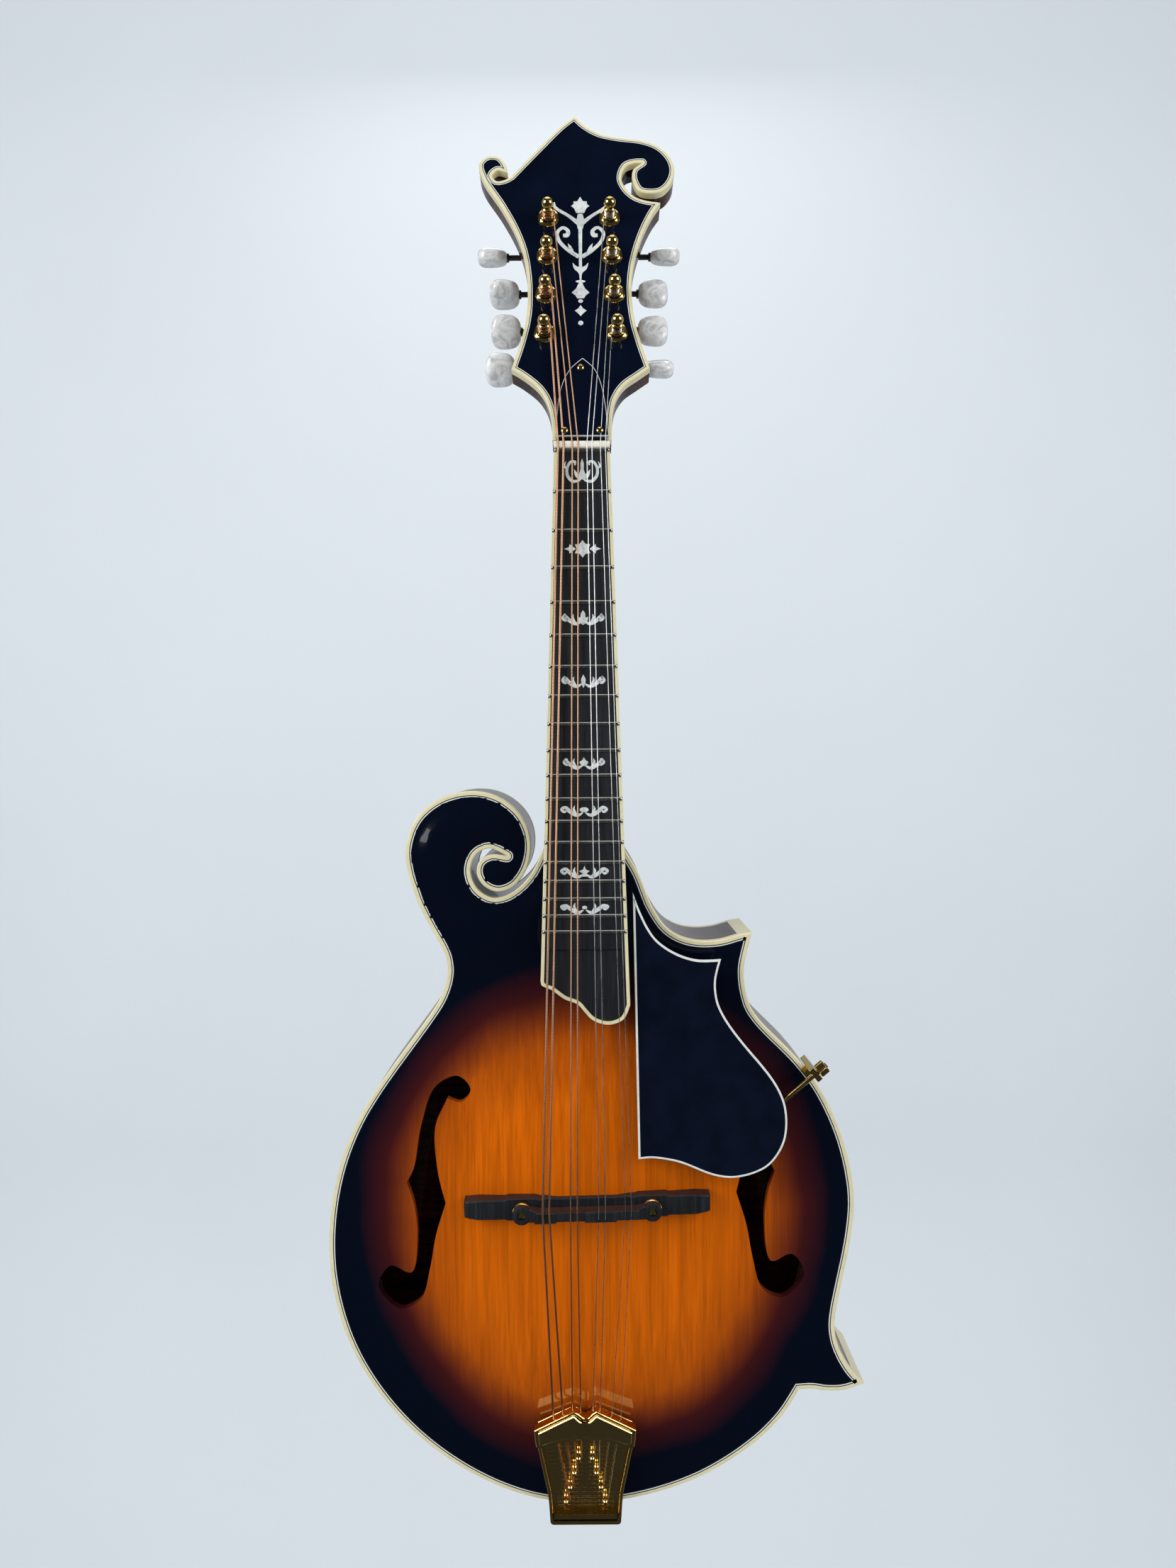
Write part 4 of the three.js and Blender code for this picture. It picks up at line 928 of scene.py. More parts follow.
def screw_head(radius, x, y, z, turn):
    """Domed head with a crossed recess, facing forwards."""
    dome_profile = [(0, y - 1.0)] + [
        (radius * math.sin(a), y - 1.0 * math.cos(a)) for a in np.linspace(0.15, math.pi / 2, 8)
    ] + [(radius, y + 0.2), (0, y + 0.2)]
    head = turned(bmesh.new(), dome_profile, 24)
    for angle in (turn, turn + 90):
        bar = bmesh.new()
        block(bar, (-radius * 0.62, radius * 0.62), (y - 2, y - 0.5), (-0.22, 0.22))
        turned_by = Matrix.Rotation(math.radians(angle), 3, "Y")
        bmesh.ops.rotate(bar, verts=bar.verts, cent=(0, 0, 0), matrix=turned_by)
        head = boolean(head, bar, "DIFFERENCE")
    bmesh.ops.translate(head, verts=head.verts, vec=(x, 0, z))
    return head


# ---- Pearl ---------------------------------------------------------------------------------------


def ribbon(points, widths, step=0.5):
    """A cut ribbon of pearl along a smooth line, as wide at each knot as its width says."""
    knots = np.hstack([np.array(points, float), np.array(widths, float)[:, None]])
    line = curve_through(knots, step)
    ahead = np.gradient(line[:, :2], axis=0)
    ahead /= np.maximum(np.linalg.norm(ahead, axis=1)[:, None], 1e-9)
    side = np.stack([-ahead[:, 1], ahead[:, 0]], 1) * np.maximum(line[:, 2:], 0.03) / 2
    return np.vstack([line[:, :2] + side, (line[:, :2] - side)[::-1]])


def mirrored(shapes):
    return shapes + [np.array(shape) * (-1, 1) for shape in shapes]


def pearl(shapes, centre, depth):
    """Flat cut pieces of pearl let into a face; each lies a hair above the one before it where they meet."""
    bm = bmesh.new()
    for i, shape in enumerate(shapes):
        shape = np.array(shape, float)
        if cross(shape, np.roll(shape, -1, 0)).sum() < 0:
            shape = shape[::-1]
        proud = 0.03 + 0.004 * i
        skin(bm, [[(x + centre[0], y, z + centre[1]) for x, z in shape]
                  for y in (depth + 0.3, depth - proud)])
    bmesh.ops.triangulate(bm, faces=[f for f in bm.faces if len(f.verts) > 4])
    return bm


def round_shape(x, z, radius, height=None):
    height = height or radius
    return np.array([(x + radius * math.cos(a), z + height * math.sin(a))
                     for a in np.linspace(0, 2 * math.pi, 24, endpoint=False)])


def head_ornament():
    """A flower pot on a long stem, with two arms and a pair of heart-shaped scrolls."""
    sides = mirrored([
        ribbon([(0.9, 117.5), (5.5, 121.5), (12.6, 126.9), (13.1, 129.6)], [2.4, 1.7, 1.5, 0.9]),
        ribbon([(0.8, 98.4), (6, 102.2), (10.5, 107.5), (11.4, 112.2), (8.6, 115), (6.1, 113), (6.7, 110.7),
                (8.6, 110.6)], [2.2, 1.9, 1.8, 1.7, 1.7, 1.9, 2.4, 1.9], 0.4),
        ribbon([(4.3, 101.3), (5.2, 104), (6.1, 106)], [2.2, 1.4, 0.1]),
        ribbon([(0, 91), (2.3, 92.2), (3.9, 95)], [3.6, 2.0, 0.1]),
    ])
    middle = [
        [(-4.6, 127.5), (-3.3, 128.6), (-3.4, 130), (-1.4, 130.2), (0, 132.8), (1.4, 130.2), (3.4, 130),
         (3.3, 128.6), (4.6, 127.5), (3, 126), (2, 123.4), (-2, 123.4), (-3, 126)],
        [(-2.1, 118.2), (-1.2, 122.9), (1.2, 122.9), (2.1, 118.2), (1.2, 114.2), (-1.2, 114.2)],
        ribbon([(0, 114.5), (0, 100), (0, 92)], [1.9, 1.6, 1.5], 4),
        [(-2.2, 91.6), (2.2, 91.6), (0.6, 88.4), (0.4, 85.2), (-0.4, 85.2), (-0.6, 88.4)],
        round_shape(0, 84.6, 2.4, 0.75),
        [(-0.8, 84), (0.8, 84), (2.2, 80.6), (4.4, 78.4), (2.5, 76.8), (1.7, 75.2), (-1.7, 75.2),
         (-2.5, 76.8), (-4.4, 78.4), (-2.2, 80.6)],
        round_shape(0, 73.7, 1.2, 1.0),
        [(0, 71.4), (1.2, 69.6), (2.9, 68.4), (1.2, 66.8), (0, 65.4), (-1.2, 66.8), (-2.9, 68.4),
         (-1.2, 69.6)],
        round_shape(0, 61.6, 1.25),
    ]
    return pearl(middle + sides, (-0.2, 0), 0.0)


def scroll_pair(reach, rise=1.0):
    """A symmetrical vine: an S-scroll to each side of a small finial."""
    return mirrored([
        ribbon([(0.6, -1.2), (3.2, -2.4), (6.4, -0.8), (8.6, 1.7 * rise), (reach - 1.4, 1.9 * rise),
                (reach, 0.4), (reach - 1.4, -0.8), (reach - 2.6, 0.2)],
               [0.6, 1.5, 1.8, 1.6, 1.4, 1.3, 1.2, 0.6], 0.4),
        ribbon([(3.4, -2.0), (4.9, 0.4), (4.4, 2.2)], [0.5, 1.1, 0.1]),
    ])


def board_ornaments():
    """Pearl in the fretboard, by fret space: each is a list of shapes about the middle of its space."""
    lyre = mirrored([
        ribbon([(1.0, -4.5), (4.4, -5), (6.9, -2.4), (7.1, 1.4), (5.4, 4.2), (3.4, 4.3), (3.4, 2.6)],
               [0.9, 1.5, 1.4, 1.3, 1.3, 1.2, 0.6], 0.4),
        ribbon([(6.6, 0.6), (8.4, 2.2), (7.6, 4.6)], [0.5, 1.0, 0.1]),
        ribbon([(0.3, -4), (2.4, -2.2), (3.8, 0.6)], [1.6, 1.9, 0.2]),
    ]) + [[(0, 6), (0.8, 3.6), (0.7, 0.8), (1.8, -2.6), (0, -4.4), (-1.8, -2.6), (-0.7, 0.8), (-0.8, 3.6)]]
    star = [[(4.2 * r * math.cos(a), 4.2 * r * math.sin(a)) for a, r in
             ((math.pi * k / 6, 1.0 if k % 2 else 0.66) for k in range(12))]]
    star += mirrored([[(3.2, 0), (5, 1.3), (6.2, 2.3), (6.4, 0.9), (8.8, 0), (6.4, -0.9), (6.2, -2.3),
                       (5, -1.3)]])
    lotus = scroll_pair(9.6) + [[(0, 4), (1, 2.6), (1.2, 0.4), (2.6, 1), (1.9, -1.8), (0, -3), (-1.9, -1.8),
                                 (-2.6, 1), (-1.2, 0.4), (-1, 2.6)]]
    fern = scroll_pair(9.8, 1.2) + [ribbon([(0, 3), (0, 0.5), (0, -3)], [0.3, 2.2, 0.4])]
    vine = scroll_pair(9.4, 0.8) + [[(0, 2.6), (0.9, 1.2), (2.2, 0.4), (1, -1.4), (-1, -1.4), (-2.2, 0.4),
                                     (-0.9, 1.2)]]
    knot = scroll_pair(10.6, 0.7) + [round_shape(0, 0.2, 2.1, 1.2)]
    spark = scroll_pair(10.8, 0.7) + [[(0, 2.9), (0.7, 1), (2.4, 0.4), (1, -0.8), (1.2, -2.2), (-1.2, -2.2),
                                       (-1, -0.8), (-2.4, 0.4), (-0.7, 1)]]
    thin = scroll_pair(10.9, 0.45) + [round_shape(0, 0, 1.2, 0.8)]
    return {1: lyre, 3: star, 5: lotus, 7: fern, 10: vine, 12: knot, 15: spark, 17: thin}


# ---- Fretboard -----------------------------------------------------------------------------------

BOARD_BINDING = 1.6
SCOOP_START = 236
SCOOP_DEPTH = 1.2


def fret_place(number):
    return SCALE_LENGTH * (1 - 2 ** (-number / 12))


def build_fretboard():
    run = outer_run(section("fretboard_binding", NECK, 3.0)[0], BOARD_CORNERS[0], BOARD_CORNERS[-1])
    outline = Outline(run, BOARD_CORNERS, step=1.5, clear=2.0, square_end=run[0][1])
    wood = board(bmesh.new(), outline, [(BOARD_BINDING, BOARD_THICKNESS), (BOARD_BINDING, 0.0)])
    for cut in (SCOOP_START, SCOOP_START + 0.4):
        bmesh.ops.bisect_plane(wood, geom=wood.verts[:] + wood.edges[:] + wood.faces[:], dist=1e-4,
                               plane_co=(0, 0, -cut), plane_no=(0, 0, 1))
    for vert in wood.verts:
        if vert.co.y < 1 and vert.co.z < -SCOOP_START - 0.2:
            vert.co.y = SCOOP_DEPTH
    deliver(wood, "ebony_board", NECK, "ebony", stands_for=["fretboard"])
    edge = strip(bmesh.new(), outline, binding_profile(0.0, BOARD_THICKNESS, BOARD_BINDING, 0.4), whole=False)
    deliver(edge, "board_binding", NECK, "ivoroid", stands_for=["fretboard_binding"])


def build_frets():
    sizes = bpy.context.scene.mandolin_sizes
    half_width = sizes.fret_width / MM / 2
    height = sizes.fret_height / MM
    bead = [(half_width * math.cos(a), height * math.sin(a)) for a in np.linspace(0, math.pi, 13)]
    frets = bmesh.new()
    for number in range(FRET_COUNT + 1):
        down = fret_place(number)
        half = board_half_width(down) - 0.25
        loops = []
        for x, size in ((-half, 0.25), (-half + 0.35, 0.8), (-half + 0.8, 1.0), (half - 0.8, 1.0),
                        (half - 0.35, 0.8), (half, 0.25)):
            loops.append([(x, 0.02 - h * size, -down + w) for w, h in bead])
        skin(frets, loops)
    deliver(frets, "frets", NECK, "fret_nickel")


def build_board_pearl():
    for number, shapes in board_ornaments().items():
        middle = (fret_place(number - 1) + fret_place(number)) / 2
        deliver(pearl(shapes, (0.1, -middle), 0.0), f"pearl_{number:02d}", NECK, "mother_of_pearl")
    deliver(head_ornament(), "pearl_head", HEAD, "mother_of_pearl")


def build_nut():
    nut = bmesh.new()
    profile = [(BOARD_THICKNESS, 0.9), (-1.1, 0.9), (-1.5, 1.3), (-1.6, 2.2), (-1.0, 4.2),
               (BOARD_THICKNESS, 4.2)]
    skin(nut, [[(x, y, z) for y, z in profile] for x in (-13.4, -13.1, 13.1, 13.4)])
    for x, radius in zip(STRING_AT_NUT, STRING_RADII):
        groove = wire(bmesh.new(), [(x, -1.5, -1), (x, -1.2, 6)], radius + 0.12, 10)
        nut = boolean(nut, groove, "DIFFERENCE")
    deliver(nut, "bone_nut", NECK, "bone", stands_for=["nut"])


# ---- Tuning machines -----------------------------------------------------------------------------

BUTTON_HALF = (7.6, 4.3, 8.3)


def build_posts():
    for axis in tuner_axes():
        profile = [(0, -13.0), (1.1, -12.85), (2.1, -12.2), (2.8, -11.2), (3.05, -10.1), (2.85, -9.0),
                   (2.2, -8.1), (1.75, -7.6), (1.9, -7.2), (2.5, -6.9), (2.6, -6.5), (2.15, -5.9),
                   (2.05, -4.6), (2.15, -3.4), (2.6, -3.0), (2.6, 15.5), (2.2, 16.0), (2.2, 22.9), (0, 22.9)]
        post = turned(bmesh.new(), profile, 32)
        gear = toothed_wheel(4.1, 0.55, 15, WORM_AXIS - 1.6, WORM_AXIS + 1.6)
        post = boolean(post, gear, "UNION")
        bmesh.ops.translate(post, verts=post.verts, vec=(axis["x"], 0, axis["z"]))
        deliver(post, f"post_{axis['name']}", HEAD, "gold_plate", f"tuner_post_{axis['name']}",
                [f"tuner_post_{axis['name']}"])
        ring = turned(bmesh.new(), [(0, 0.2), (5.2, 0.2), (5.3, -0.3), (5.1, -0.7), (4.4, -0.95),
                                    (3.95, -1.2), (3.75, -1.9), (3.7, -2.5), (3.4, -2.8), (3.0, -2.7),
                                    (2.9, -2.3), (0, -2.3)], 40)
        bmesh.ops.translate(ring, verts=ring.verts, vec=(axis["x"], 0, axis["z"]))
        deliver(ring, f"ferrule_{axis['name']}", HEAD, "gold_plate")


def toothed_wheel(radius, tooth, count, front, back):
    """A spur wheel about the depth axis, with rounded teeth."""
    rim = []
    for k in range(count * 6):
        angle = 2 * math.pi * k / (count * 6)
        reach = radius - tooth * (0.5 - 0.5 * math.tanh(2.2 * math.cos(count * angle)) / math.tanh(2.2))
        rim.append((reach * math.cos(angle), reach * math.sin(angle)))
    return skin(bmesh.new(), [[(x * s, y, z * s) for x, z in rim] for y, s in
                              ((front, 0.94), (front + 0.3, 1), (back - 0.3, 1), (back, 0.94))])


def button(turn, reach):
    """A rounded pearloid button on the end of its shaft, seen along +X."""
    bm = bmesh.new()
    bmesh.ops.create_uvsphere(bm, u_segments=40, v_segments=24, radius=1)
    for vert in bm.verts:
        x, y, z = vert.co
        outwards = 0.5 + 0.5 * x
        spread = (abs(x) ** 3.2 + abs(y) ** 3.0 + abs(z) ** 2.6) ** (-1 / 2.9)
        vert.co = (x * spread * BUTTON_HALF[0], y * spread * BUTTON_HALF[1] * (0.8 + 0.2 * outwards),
                   z * spread * BUTTON_HALF[2] * (0.9 + 0.1 * outwards))
    largest = [max(abs(v.co[i]) for v in bm.verts) for i in range(3)]
    bmesh.ops.scale(bm, verts=bm.verts, vec=[BUTTON_HALF[i] / largest[i] for i in range(3)])
    about_shaft = Matrix.Rotation(math.radians(90 + turn), 3, "X")
    bmesh.ops.rotate(bm, verts=bm.verts, cent=(0, 0, 0), matrix=about_shaft)
    bmesh.ops.translate(bm, verts=bm.verts, vec=(reach - BUTTON_HALF[0], 0, 0))
    return bm


def worm_shaft(reach):
    """A shaft along +X with its worm at the middle and a collar under the button."""
    path = [(-5.2, 1.0), (-5.0, 1.4), (-3.7, 1.4)]
    for k in range(26):
        path.append((-3.5 + 0.28 * k, 1.65 + 0.3 * math.cos(2 * math.pi * k / 7)))
    path += [(3.8, 1.4), (reach - 16.2, 1.4), (reach - 16.0, 2.2), (reach - 14.6, 2.2), (reach - 14.2, 1.6),
             (reach - 11, 1.5)]
    return wire(bmesh.new(), [(x, 0, 0) for x, _ in path], [r for _, r in path], 20)


def build_knobs():
    for axis in tuner_axes():
        facing = Matrix.Rotation(0 if axis["side"] > 0 else math.pi, 4, "Z")
        spot = Matrix.Translation((axis["x"], WORM_AXIS, axis["z"] - WORM_DROP)) @ facing
        name = axis["name"]
        knob = button(axis["turn"], axis["reach"])
        bmesh.ops.transform(knob, matrix=spot, verts=knob.verts)
        deliver(knob, f"button_{name}", HEAD, "pearloid", f"tuner_knob_{name}", [f"tuner_knob_{name}"])
        shaft = worm_shaft(axis["reach"])
        bmesh.ops.transform(shaft, matrix=spot, verts=shaft.verts)
        deliver(shaft, f"worm_shaft_{name}", HEAD, "dark_fitting", f"tuner_knob_{name}")


def build_tuner_plates():
    """The two backing plates, each with four pairs of ears for the worm shafts and its screws."""
    back = HEAD_THICKNESS + 0.1
    for name, row in TUNER_SIDES.items():
        axes = [a for a in tuner_axes() if a["name"].startswith(name)]
        middle = row["foot"] + row["lean"] * 1.5 * TUNER_PITCH
        plate = bmesh.new()
        block(plate, (middle - 7.5, middle + 7.5), (back, back + 1.6),
              (TUNER_FIRST_ROW - 13, TUNER_FIRST_ROW + 3 * TUNER_PITCH + 9))
        soften(plate, 0.5)
        for axis in axes:
            hole = wire(bmesh.new(), [(axis["x"], 0, axis["z"]), (axis["x"], 40, axis["z"])], 3.4, 24)
            plate = boolean(plate, hole, "DIFFERENCE")
        for axis in axes:
            for offset in (-6.4, 6.4):
                ear = bmesh.new()
                x = axis["x"] + offset
                z = axis["z"] - WORM_DROP
                foot = [(back + 1.2, z - 2.8), (back + 1.2, z + 2.8)]
                crest = [(WORM_AXIS + 2.6 * math.sin(a), z + 2.6 * math.cos(a))
                         for a in np.linspace(0, math.pi, 13)]
                skin(ear, [[(side, y, up) for y, up in foot + crest] for side in (x - 0.8, x + 0.8)])
                bore = wire(bmesh.new(), [(x - 2, WORM_AXIS, z), (x + 2, WORM_AXIS, z)], 1.65, 20)
                plate = merged(plate, boolean(ear, bore, "DIFFERENCE"))
        deliver(plate, f"backing_plate_{name}", HEAD, "gold_plate", stands_for=[f"tuner_plate_{name}"])
        heights = [TUNER_FIRST_ROW - 10.5 + k * TUNER_PITCH * 0.985 for k in range(4)]
        heights.append(TUNER_FIRST_ROW + 3 * TUNER_PITCH + 6)
        for k, z in enumerate(heights):
            screw = screw_head(1.5, 0, 0, 0, 15 + 37 * k)
            x = middle + (4.6 if k % 2 else -4.6)
            bmesh.ops.rotate(screw, verts=screw.verts, cent=(0, 0, 0), matrix=Matrix.Rotation(math.pi, 3, "Z"))
            bmesh.ops.translate(screw, verts=screw.verts, vec=(x, back + 1.65, z))
            deliver(screw, f"plate_screw_{name}_{k + 1}", HEAD, "gold_plate")


# ---- Bridge --------------------------------------------------------------------------------------

BASE_HALF = 58
# Each block of the saddle's crown: where it starts and ends across, and its lower and upper edges.
CROWN = ((-24.2, -14.4, -3.3, 2.2), (-14.4, -1.0, -1.7, 2.6), (-1.0, 13.7, -3.3, 2.0),
         (13.7, 24.2, -1.7, 2.6))
BASE_TOP = -18
WHEEL_FRONT = -21.8


def base_foot(x, z):
    """Depth of the top plate under the bridge."""
    return -FRONT_ARCH * float(dome(x + 0.4, z - 357)) - 0.02


def build_bridge_base():
    """The foot: thick ends that step down by a hollow curve to a thinner middle, fitted to the dome."""
    crest = [(-BASE_HALF, -15.6), (-57.4, -16.6), (-56, -17.4), (-52, -17.9), (-40, BASE_TOP),
             (-22.4, BASE_TOP), (-21.2, -17.6), (-19.2, -16.3), (-15, -15.7), (0, -15.5)]
    crest += [(-x, y) for x, y in crest[-2::-1]]
    xs, ys = zip(*crest)
    loops = []
    for x in sorted(set(list(np.linspace(-BASE_HALF, BASE_HALF, 73)) + list(xs))):
        y = float(np.interp(x, xs, ys))
        ear = 5.2 if 24 < abs(x) < 38 else 4.6
        half = ear - 0.8 * eased((abs(x) - 50) / 8) - 0.7 * eased((20 - abs(x)) / 6)
        loops.append([(x, base_foot(x, -half), -half), (x, base_foot(x, 0), 0), (x, base_foot(x, half), half),
                      (x, y + 0.5, half), (x, y, half - 0.5), (x, y, 0.5 - half), (x, y + 0.5, -half)])
    base = skin(bmesh.new(), loops)
    deliver(base, "bridge_foot", BRIDGE, "ebony", stands_for=["bridge_base"])


def build_saddle():
    """The saddle: round lobes over the wheels and a crown cut in blocks for each pair of strings."""
    saddle = bmesh.new()
    loops = []
    for x in np.linspace(-27, 27, 55):
        rise = eased((27 - abs(x)) / 5.5)
        top = -25.7 - 2.3 * rise
        half = 3.1 - 0.9 * rise
        loops.append([(x, -22.1, -half - 0.3), (x, -22.1, half + 0.3), (x, -24.4, half + 0.3),
                      (x, top + 0.4, half), (x, top, half - 0.4), (x, top, 0.4 - half),
                      (x, top + 0.4, -half), (x, -24.4, -half - 0.3)])
    skin(saddle, loops)
    saddle = boolean(saddle, turned_at(WHEEL_X, 4.4, -25.7, -22.1), "UNION")
    saddle = boolean(saddle, turned_at(-WHEEL_X, 4.4, -25.7, -22.1), "UNION")
    for x in (-WHEEL_X, WHEEL_X):
        saddle = boolean(saddle, wire(bmesh.new(), [(x, -20, 0), (x, -24.9, 0)], 1.95, 24), "DIFFERENCE")
        saddle = boolean(saddle, wire(bmesh.new(), [(x, -24.0, 0), (x, -30, 0)], 1.95, 24), "DIFFERENCE")
    for start, end, low, high in CROWN:
        crown = bmesh.new()
        block(crown, (start, end), (-28.3, -26.0), (low, high))
        for vert in crown.verts:
            if vert.co.y < -28:
                vert.co.z *= 0.8
        saddle = boolean(saddle, soften(crown, 0.25, 2), "UNION")
    for x, radius in zip(STRING_AT_SADDLE, STRING_RADII):
        slot = wire(bmesh.new(), [(x, -28.5 - 0.1, -6), (x, -28.5 - 0.1, 6)], radius + 0.14, 10)
        saddle = boolean(saddle, slot, "DIFFERENCE")
    deliver(saddle, "bridge_saddle_top", BRIDGE, "ebony", "saddle", ["bridge_saddle"])


def turned_at(x, radius, front, back):
    """A round lobe with softened edges, seen from the front."""
    profile = [(0, front), (radius - 0.8, front), (radius - 0.25, front + 0.25), (radius, front + 0.8),
               (radius, back - 0.3), (radius - 0.3, back), (0, back)]
    lobe = turned(bmesh.new(), profile, 40)
    bmesh.ops.translate(lobe, verts=lobe.verts, vec=(x, 0, 0))
    return lobe


def build_wheels():
    """Knurled adjusting wheels and the threaded posts they run on."""
    for name, x in (("bass", -WHEEL_X), ("treble", WHEEL_X)):
        count = 44
        rim = []
        for k in range(count * 4):
            angle = 2 * math.pi * k / (count * 4)
            reach = 4.5 - 0.22 * (0.5 - 0.5 * math.cos(count * angle))
            rim.append((reach * math.cos(angle), reach * math.sin(angle)))
        profile = ((WHEEL_FRONT, 0.9), (WHEEL_FRONT + 0.35, 1), (WHEEL_FRONT + 1.75, 1),
                   (WHEEL_FRONT + 2.1, 0.9))
        wheel = skin(bmesh.new(), [[(u * s, y, w * s) for u, w in rim] for y, s in profile])
        wheel = boolean(wheel, wire(bmesh.new(), [(0, -30, 0), (0, -10, 0)], 1.85, 24), "DIFFERENCE")
        bmesh.ops.translate(wheel, verts=wheel.verts, vec=(x, 0, 0))
        deliver(wheel, f"wheel_{name}", BRIDGE, "brass", f"thumbwheel_{name}", [f"thumbwheel_{name}"])
        thread = []
        for k in range(81):
            thread.append((1.62 + 0.08 * math.cos(2 * math.pi * k / 8), -24.4 + k * 0.12))
        post = turned(bmesh.new(), [(0, -24.6), (1.3, -24.6), *thread, (1.6, -14.6), (0, -14.6)], 24)
        bmesh.ops.translate(post, verts=post.verts, vec=(x, 0, 0))
        deliver(post, f"threaded_post_{name}", BRIDGE, "brass", stands_for=[f"bridge_post_{name}"])


# ---- Tailpiece -----------------------------------------------------------------------------------

TAIL_HALF = [(5.5, -457), (12.5, -460.5), (22.3, -465.5), (21.9, -470), (20.4, -478), (18.2, -490),
             (16.4, -500), (15.4, -515)]
TAIL_FRONT = ((-456, -16.6), (-473, -15.4), (-474.5, -11.8), (-513.8, -6.6), (-516, -6.4))
TRAY_FLOOR = 0.34  # of the way from the tailpiece's back to its front


def tail_back(z):
    return -8.7 + (-457 - z) * 0.131


def tail_front(z):
    zs, ys = zip(*TAIL_FRONT[::-1])
    return float(np.interp(z, zs, ys))


def tail_level(z, share):
    """Depth at a share of the way from the tailpiece's back to its front."""
    return tail_back(z) + (tail_front(z) - tail_back(z)) * share


def tail_peg(side, rank):
    """Place across, height and root depth of one peg of the tray."""
    z = -480.7 - 7.7 * rank
    return TAIL_X + side * (3.3 + 2.05 * rank), z, tail_level(z, TRAY_FLOOR)


def build_tailpiece():
    """A cast hood over the string ends, a ribbed tray with pegs, and a lip that hooks over the end."""
    half = curve_through(TAIL_HALF[:3], 1.5)
    sides = curve_through(TAIL_HALF[2:], 2.5)[1:]
    right = np.vstack([half, sides])
    dip = np.array([(2.6, -459.6), (0, -460.4)])
    outline = np.vstack([right[::-1], dip, (right * (-1, 1))])
    outline += (TAIL_X, 0)
    edge = Outline(outline[::-1], [(TAIL_X + 22.3, -465.5), (TAIL_X - 22.3, -465.5), (TAIL_X + 15.4, -515),
                                   (TAIL_X - 15.4, -515)], step=1.5, clear=0.6)
    wall = ((0.3, 0.0), (0.0, 0.03), (0.0, 0.9), (0.25, 0.97), (0.8, 1.0), (1.5, 1.0), (1.7, 0.97),
            (1.7, TRAY_FLOOR))
    tray = skin(bmesh.new(), [[(x, tail_level(z, share), z) for x, z in edge.moved(inwards)]
                              for inwards, share in wall])
    bmesh.ops.triangulate(tray, faces=[f for f in tray.faces if len(f.verts) > 4])
    lip = bmesh.new()
    skin(lip, [[(TAIL_X + x, y, z) for y, z in ((-6.9, -511.2), (-6.9, -513.6), (-5.5, -514.6), (14, -514.4),
                                                (14, -512.6), (-3, -511.2))]
               for x in (-15.2, -14.8, 14.8, 15.2)])
    deliver(merged(tray, lip), "tail_tray", BODY, "gold_plate", stands_for=["tailpiece"])

    hood_top = [(x, z) for x, z in right if z > -466] + [(22.0, -469.5), (21.6, -473.2)]
    arch = [(14, -470.6), (7, -469.3), (0, -468.8)]
    around = np.array([*(hood_top + arch), *[(-x, z) for x, z in (hood_top + arch[:-1])[::-1]],
                       (-2.6, -459.6), (0, -460.4), (2.6, -459.6)])
    around = around + (TAIL_X, 0)
    shape = Outline(around if cross(around, np.roll(around, -1, 0)).sum() > 0 else around[::-1],
                    [(TAIL_X + 22.3, -465.5), (TAIL_X - 22.3, -465.5), (TAIL_X + 21.6, -473.2),
                     (TAIL_X - 21.6, -473.2)], step=1.2, clear=0.5)
    crown = ((0.6, 1.4), (0.0, 1.2), (0.0, -0.15), (0.35, -0.5), (1.1, -0.5), (1.5, -0.2))
    plate = skin(bmesh.new(), [[(x, tail_front(z) + lift, z) for x, z in shape.moved(inwards)]
                               for inwards, lift in crown])
    bmesh.ops.triangulate(plate, faces=[f for f in plate.faces if len(f.verts) > 4])
    deliver(plate, "tail_hood", BODY, "gold_plate")

    ribs = bmesh.new()
    for k in range(15):
        z = -476.5 - 2.3 * k
        half_width = float(np.interp(-z, [478, 490, 500, 515], [18.2, 16, 14.2, 13.2]))
        base = tail_level(z, TRAY_FLOOR)
        wire_loops = []
        for x in (-half_width, half_width):
            wire_loops.append([(TAIL_X + x, base + 0.3 - 0.75 * math.sin(a), z + 0.62 * math.cos(a))
                               for a in np.linspace(-0.3, math.pi + 0.3, 9)])
        skin(ribs, wire_loops)
    deliver(ribs, "tail_ribs", BODY, "gold_plate")
    for side in (-1, 1):
        for rank in range(4):
            x, z, root = tail_peg(side, rank)
            profile = ((0, -5.6), (0.7, -5.5), (1.2, -5.0), (1.3, -4.4), (0.95, -3.8), (0.85, -3.2),
                       (0.85, -0.8), (1.3, -0.4), (1.4, 0.3), (0, 0.3))
            peg = turned(bmesh.new(), [(radius, root + depth) for radius, depth in profile], 24)
            bmesh.ops.translate(peg, verts=peg.verts, vec=(x, 0, z))
            deliver(peg, f"tail_peg_{'bass' if side < 0 else 'treble'}_{rank + 1}", BODY, "gold_plate")


# ---- Pickguard -----------------------------------------------------------------------------------


def build_pickguard():
    outline = Outline(section("pickguard", NECK, 4.5)[0], GUARD_CORNERS, step=1.5, clear=2.0)
    sheet = board(bmesh.new(), outline, [(1.0, 5.6), (1.0, 3.4)])
    deliver(sheet, "guard_sheet", NECK, "pickguard_plastic", stands_for=["pickguard"])
    edge = strip(bmesh.new(), outline, binding_profile(3.4, 5.6, 1.0, 0.4))
    deliver(edge, "guard_edge", NECK, "white_line")


# ---- Strings -------------------------------------------------------------------------------------

POST_ORDER = (0, 1, 2, 3, 7, 6, 5, 4)


def placed(point, place):
    """A drawing's point on the body's drawing."""
    return BODY.inverted() @ place @ Vector(point)


